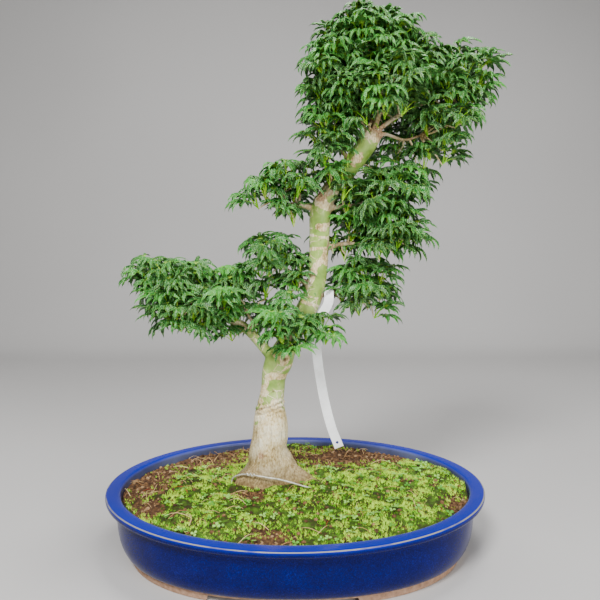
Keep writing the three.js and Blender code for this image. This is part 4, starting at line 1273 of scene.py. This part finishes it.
def buildStudio():
    floor = startPiece("studio_floor", bpy.ops.mesh.primitive_grid_add, x_subdivisions=2,
        y_subdivisions=48, size=2)
    curve = studio["wallCurve"]
    for vertex in floor.data.vertices:
        reach = vertex.co.y * studio["floorHalf"]
        past = max(0, reach - studio["wallStart"])
        vertex.co = (vertex.co.x * studio["floorHalf"], reach - past * curve, past ** 2 * curve)
    smoothShade(floor, 60)
    material, shader, add = newMaterial("painted_paper_backdrop", {"Roughness": 0.9})
    place = add("TexCoord").outputs["Object"]
    cloud = add("TexNoise", {"Scale": 0.7, "Detail": 2.0}, {"Vector": place})
    tone = add("ValToRGB", {"stops": [(0.3, "#b5b3b1"), (0.7, "#bfbdbb")]}, {"Fac": cloud})
    linkInputs(shader, {"Base Color": tone})
    floor.data.materials.append(material)

    for name, place, size, power in softboxes:
        data = bpy.data.lights.new(name + "_softbox", "AREA")
        data.size = size
        data.energy = power
        lamp = putInScene(name + "_softbox", data)
        lamp.location = place
        aim = Vector(studio["lightsAim"]) - Vector(place)
        lamp.rotation_euler = aim.to_track_quat("-Z", "Y").to_euler()
    world = bpy.data.worlds.new("studio_light")
    bpy.context.scene.world = world
    world.use_nodes = True
    sky = world.node_tree.nodes["Background"].inputs
    sky["Color"].default_value = colour("#e6e8ea")
    sky["Strength"].default_value = studio["skyStrength"]

    data = bpy.data.cameras.new("photo_camera")
    data.sensor_width = studio["sensor"]
    data.lens = studio["lens"]
    camera = putInScene("photo_camera", data)
    pitch = Matrix.Rotation(math.radians(90 - studio["pitchDown"]), 4, "X")
    roll = Matrix.Rotation(math.radians(-studio["roll"]), 4, "Z")
    place = Matrix.Translation([c * mm for c in studio["cameraPlace"]])
    camera.matrix_world = place @ pitch @ roll
    bpy.context.scene.camera = camera


# Building

buildStudio()
report("studio")

finishPiece(buildPot(), glazedStoneware(), "pot_glaze", "pot_wall", "pot_base")
screenMaterial = screenPlastic()
for side, x in (("left", -pot["drainX"]), ("right", pot["drainX"])):
    finishPiece(buildScreen("screen_" + side, x), screenMaterial, "screen_mesh",
        "drain_screen_" + side)
report("pot and screens")

substrate = dampSubstrate()
finishPiece(buildSoil(), substrate, "soil", "soil")
finishPiece(buildCrumbs(), substrate, "soil")
bedStops = [(0.36, "#120c04"), (0.5, "#3a2810"), (0.64, "#303c08"), (0.82, "#4a7010")]
finishPiece(buildMoss(), livingMoss("cushion_moss_bed", bedStops, 9), "moss", "moss_carpet")
sprigStops = [(0.28, "#0e2e04"), (0.48, "#408e04"), (0.7, "#80d606"), (0.95, "#d8fc48")]
finishPiece(buildSprigs(), livingMoss("cushion_moss_shoots", sprigStops, 12), "moss")
weedStops = [(0.3, "#34801a"), (0.55, "#5ca030"), (0.85, "#98cc5c")]
finishPiece(buildWeeds(), livingMoss("weed_leaflets", weedStops, 30), "moss")
finishPiece(buildLitter(), dryLitter(), "soil")
report("ground")

bark = mapleBark()
finishPiece(buildWood(), bark, "bark", "trunk_and_branches")
report("trunk and branches")

branchPoints = [tuple(row) for stations in limbStations
    for row in throughStations([s[:4] for s in stations], 3)[3:]]
leafPieces, stalks, twigs = buildFoliage(branchPoints)
leafMaterial = mapleLeaf()
for piece, node in leafPieces:
    finishPiece(piece, leafMaterial, "leaf", node)
finishPiece(stalks, leafStalkSkin(), "leaf")
finishPiece(twigs, bark, "bark")
report("foliage")

finishPiece(buildWire(), drawnWire(), "wire", "tie_wire")
finishPiece(buildLabel(), labelFilm(), "label", "label_strip")
report("wire and label")

deselectAll()
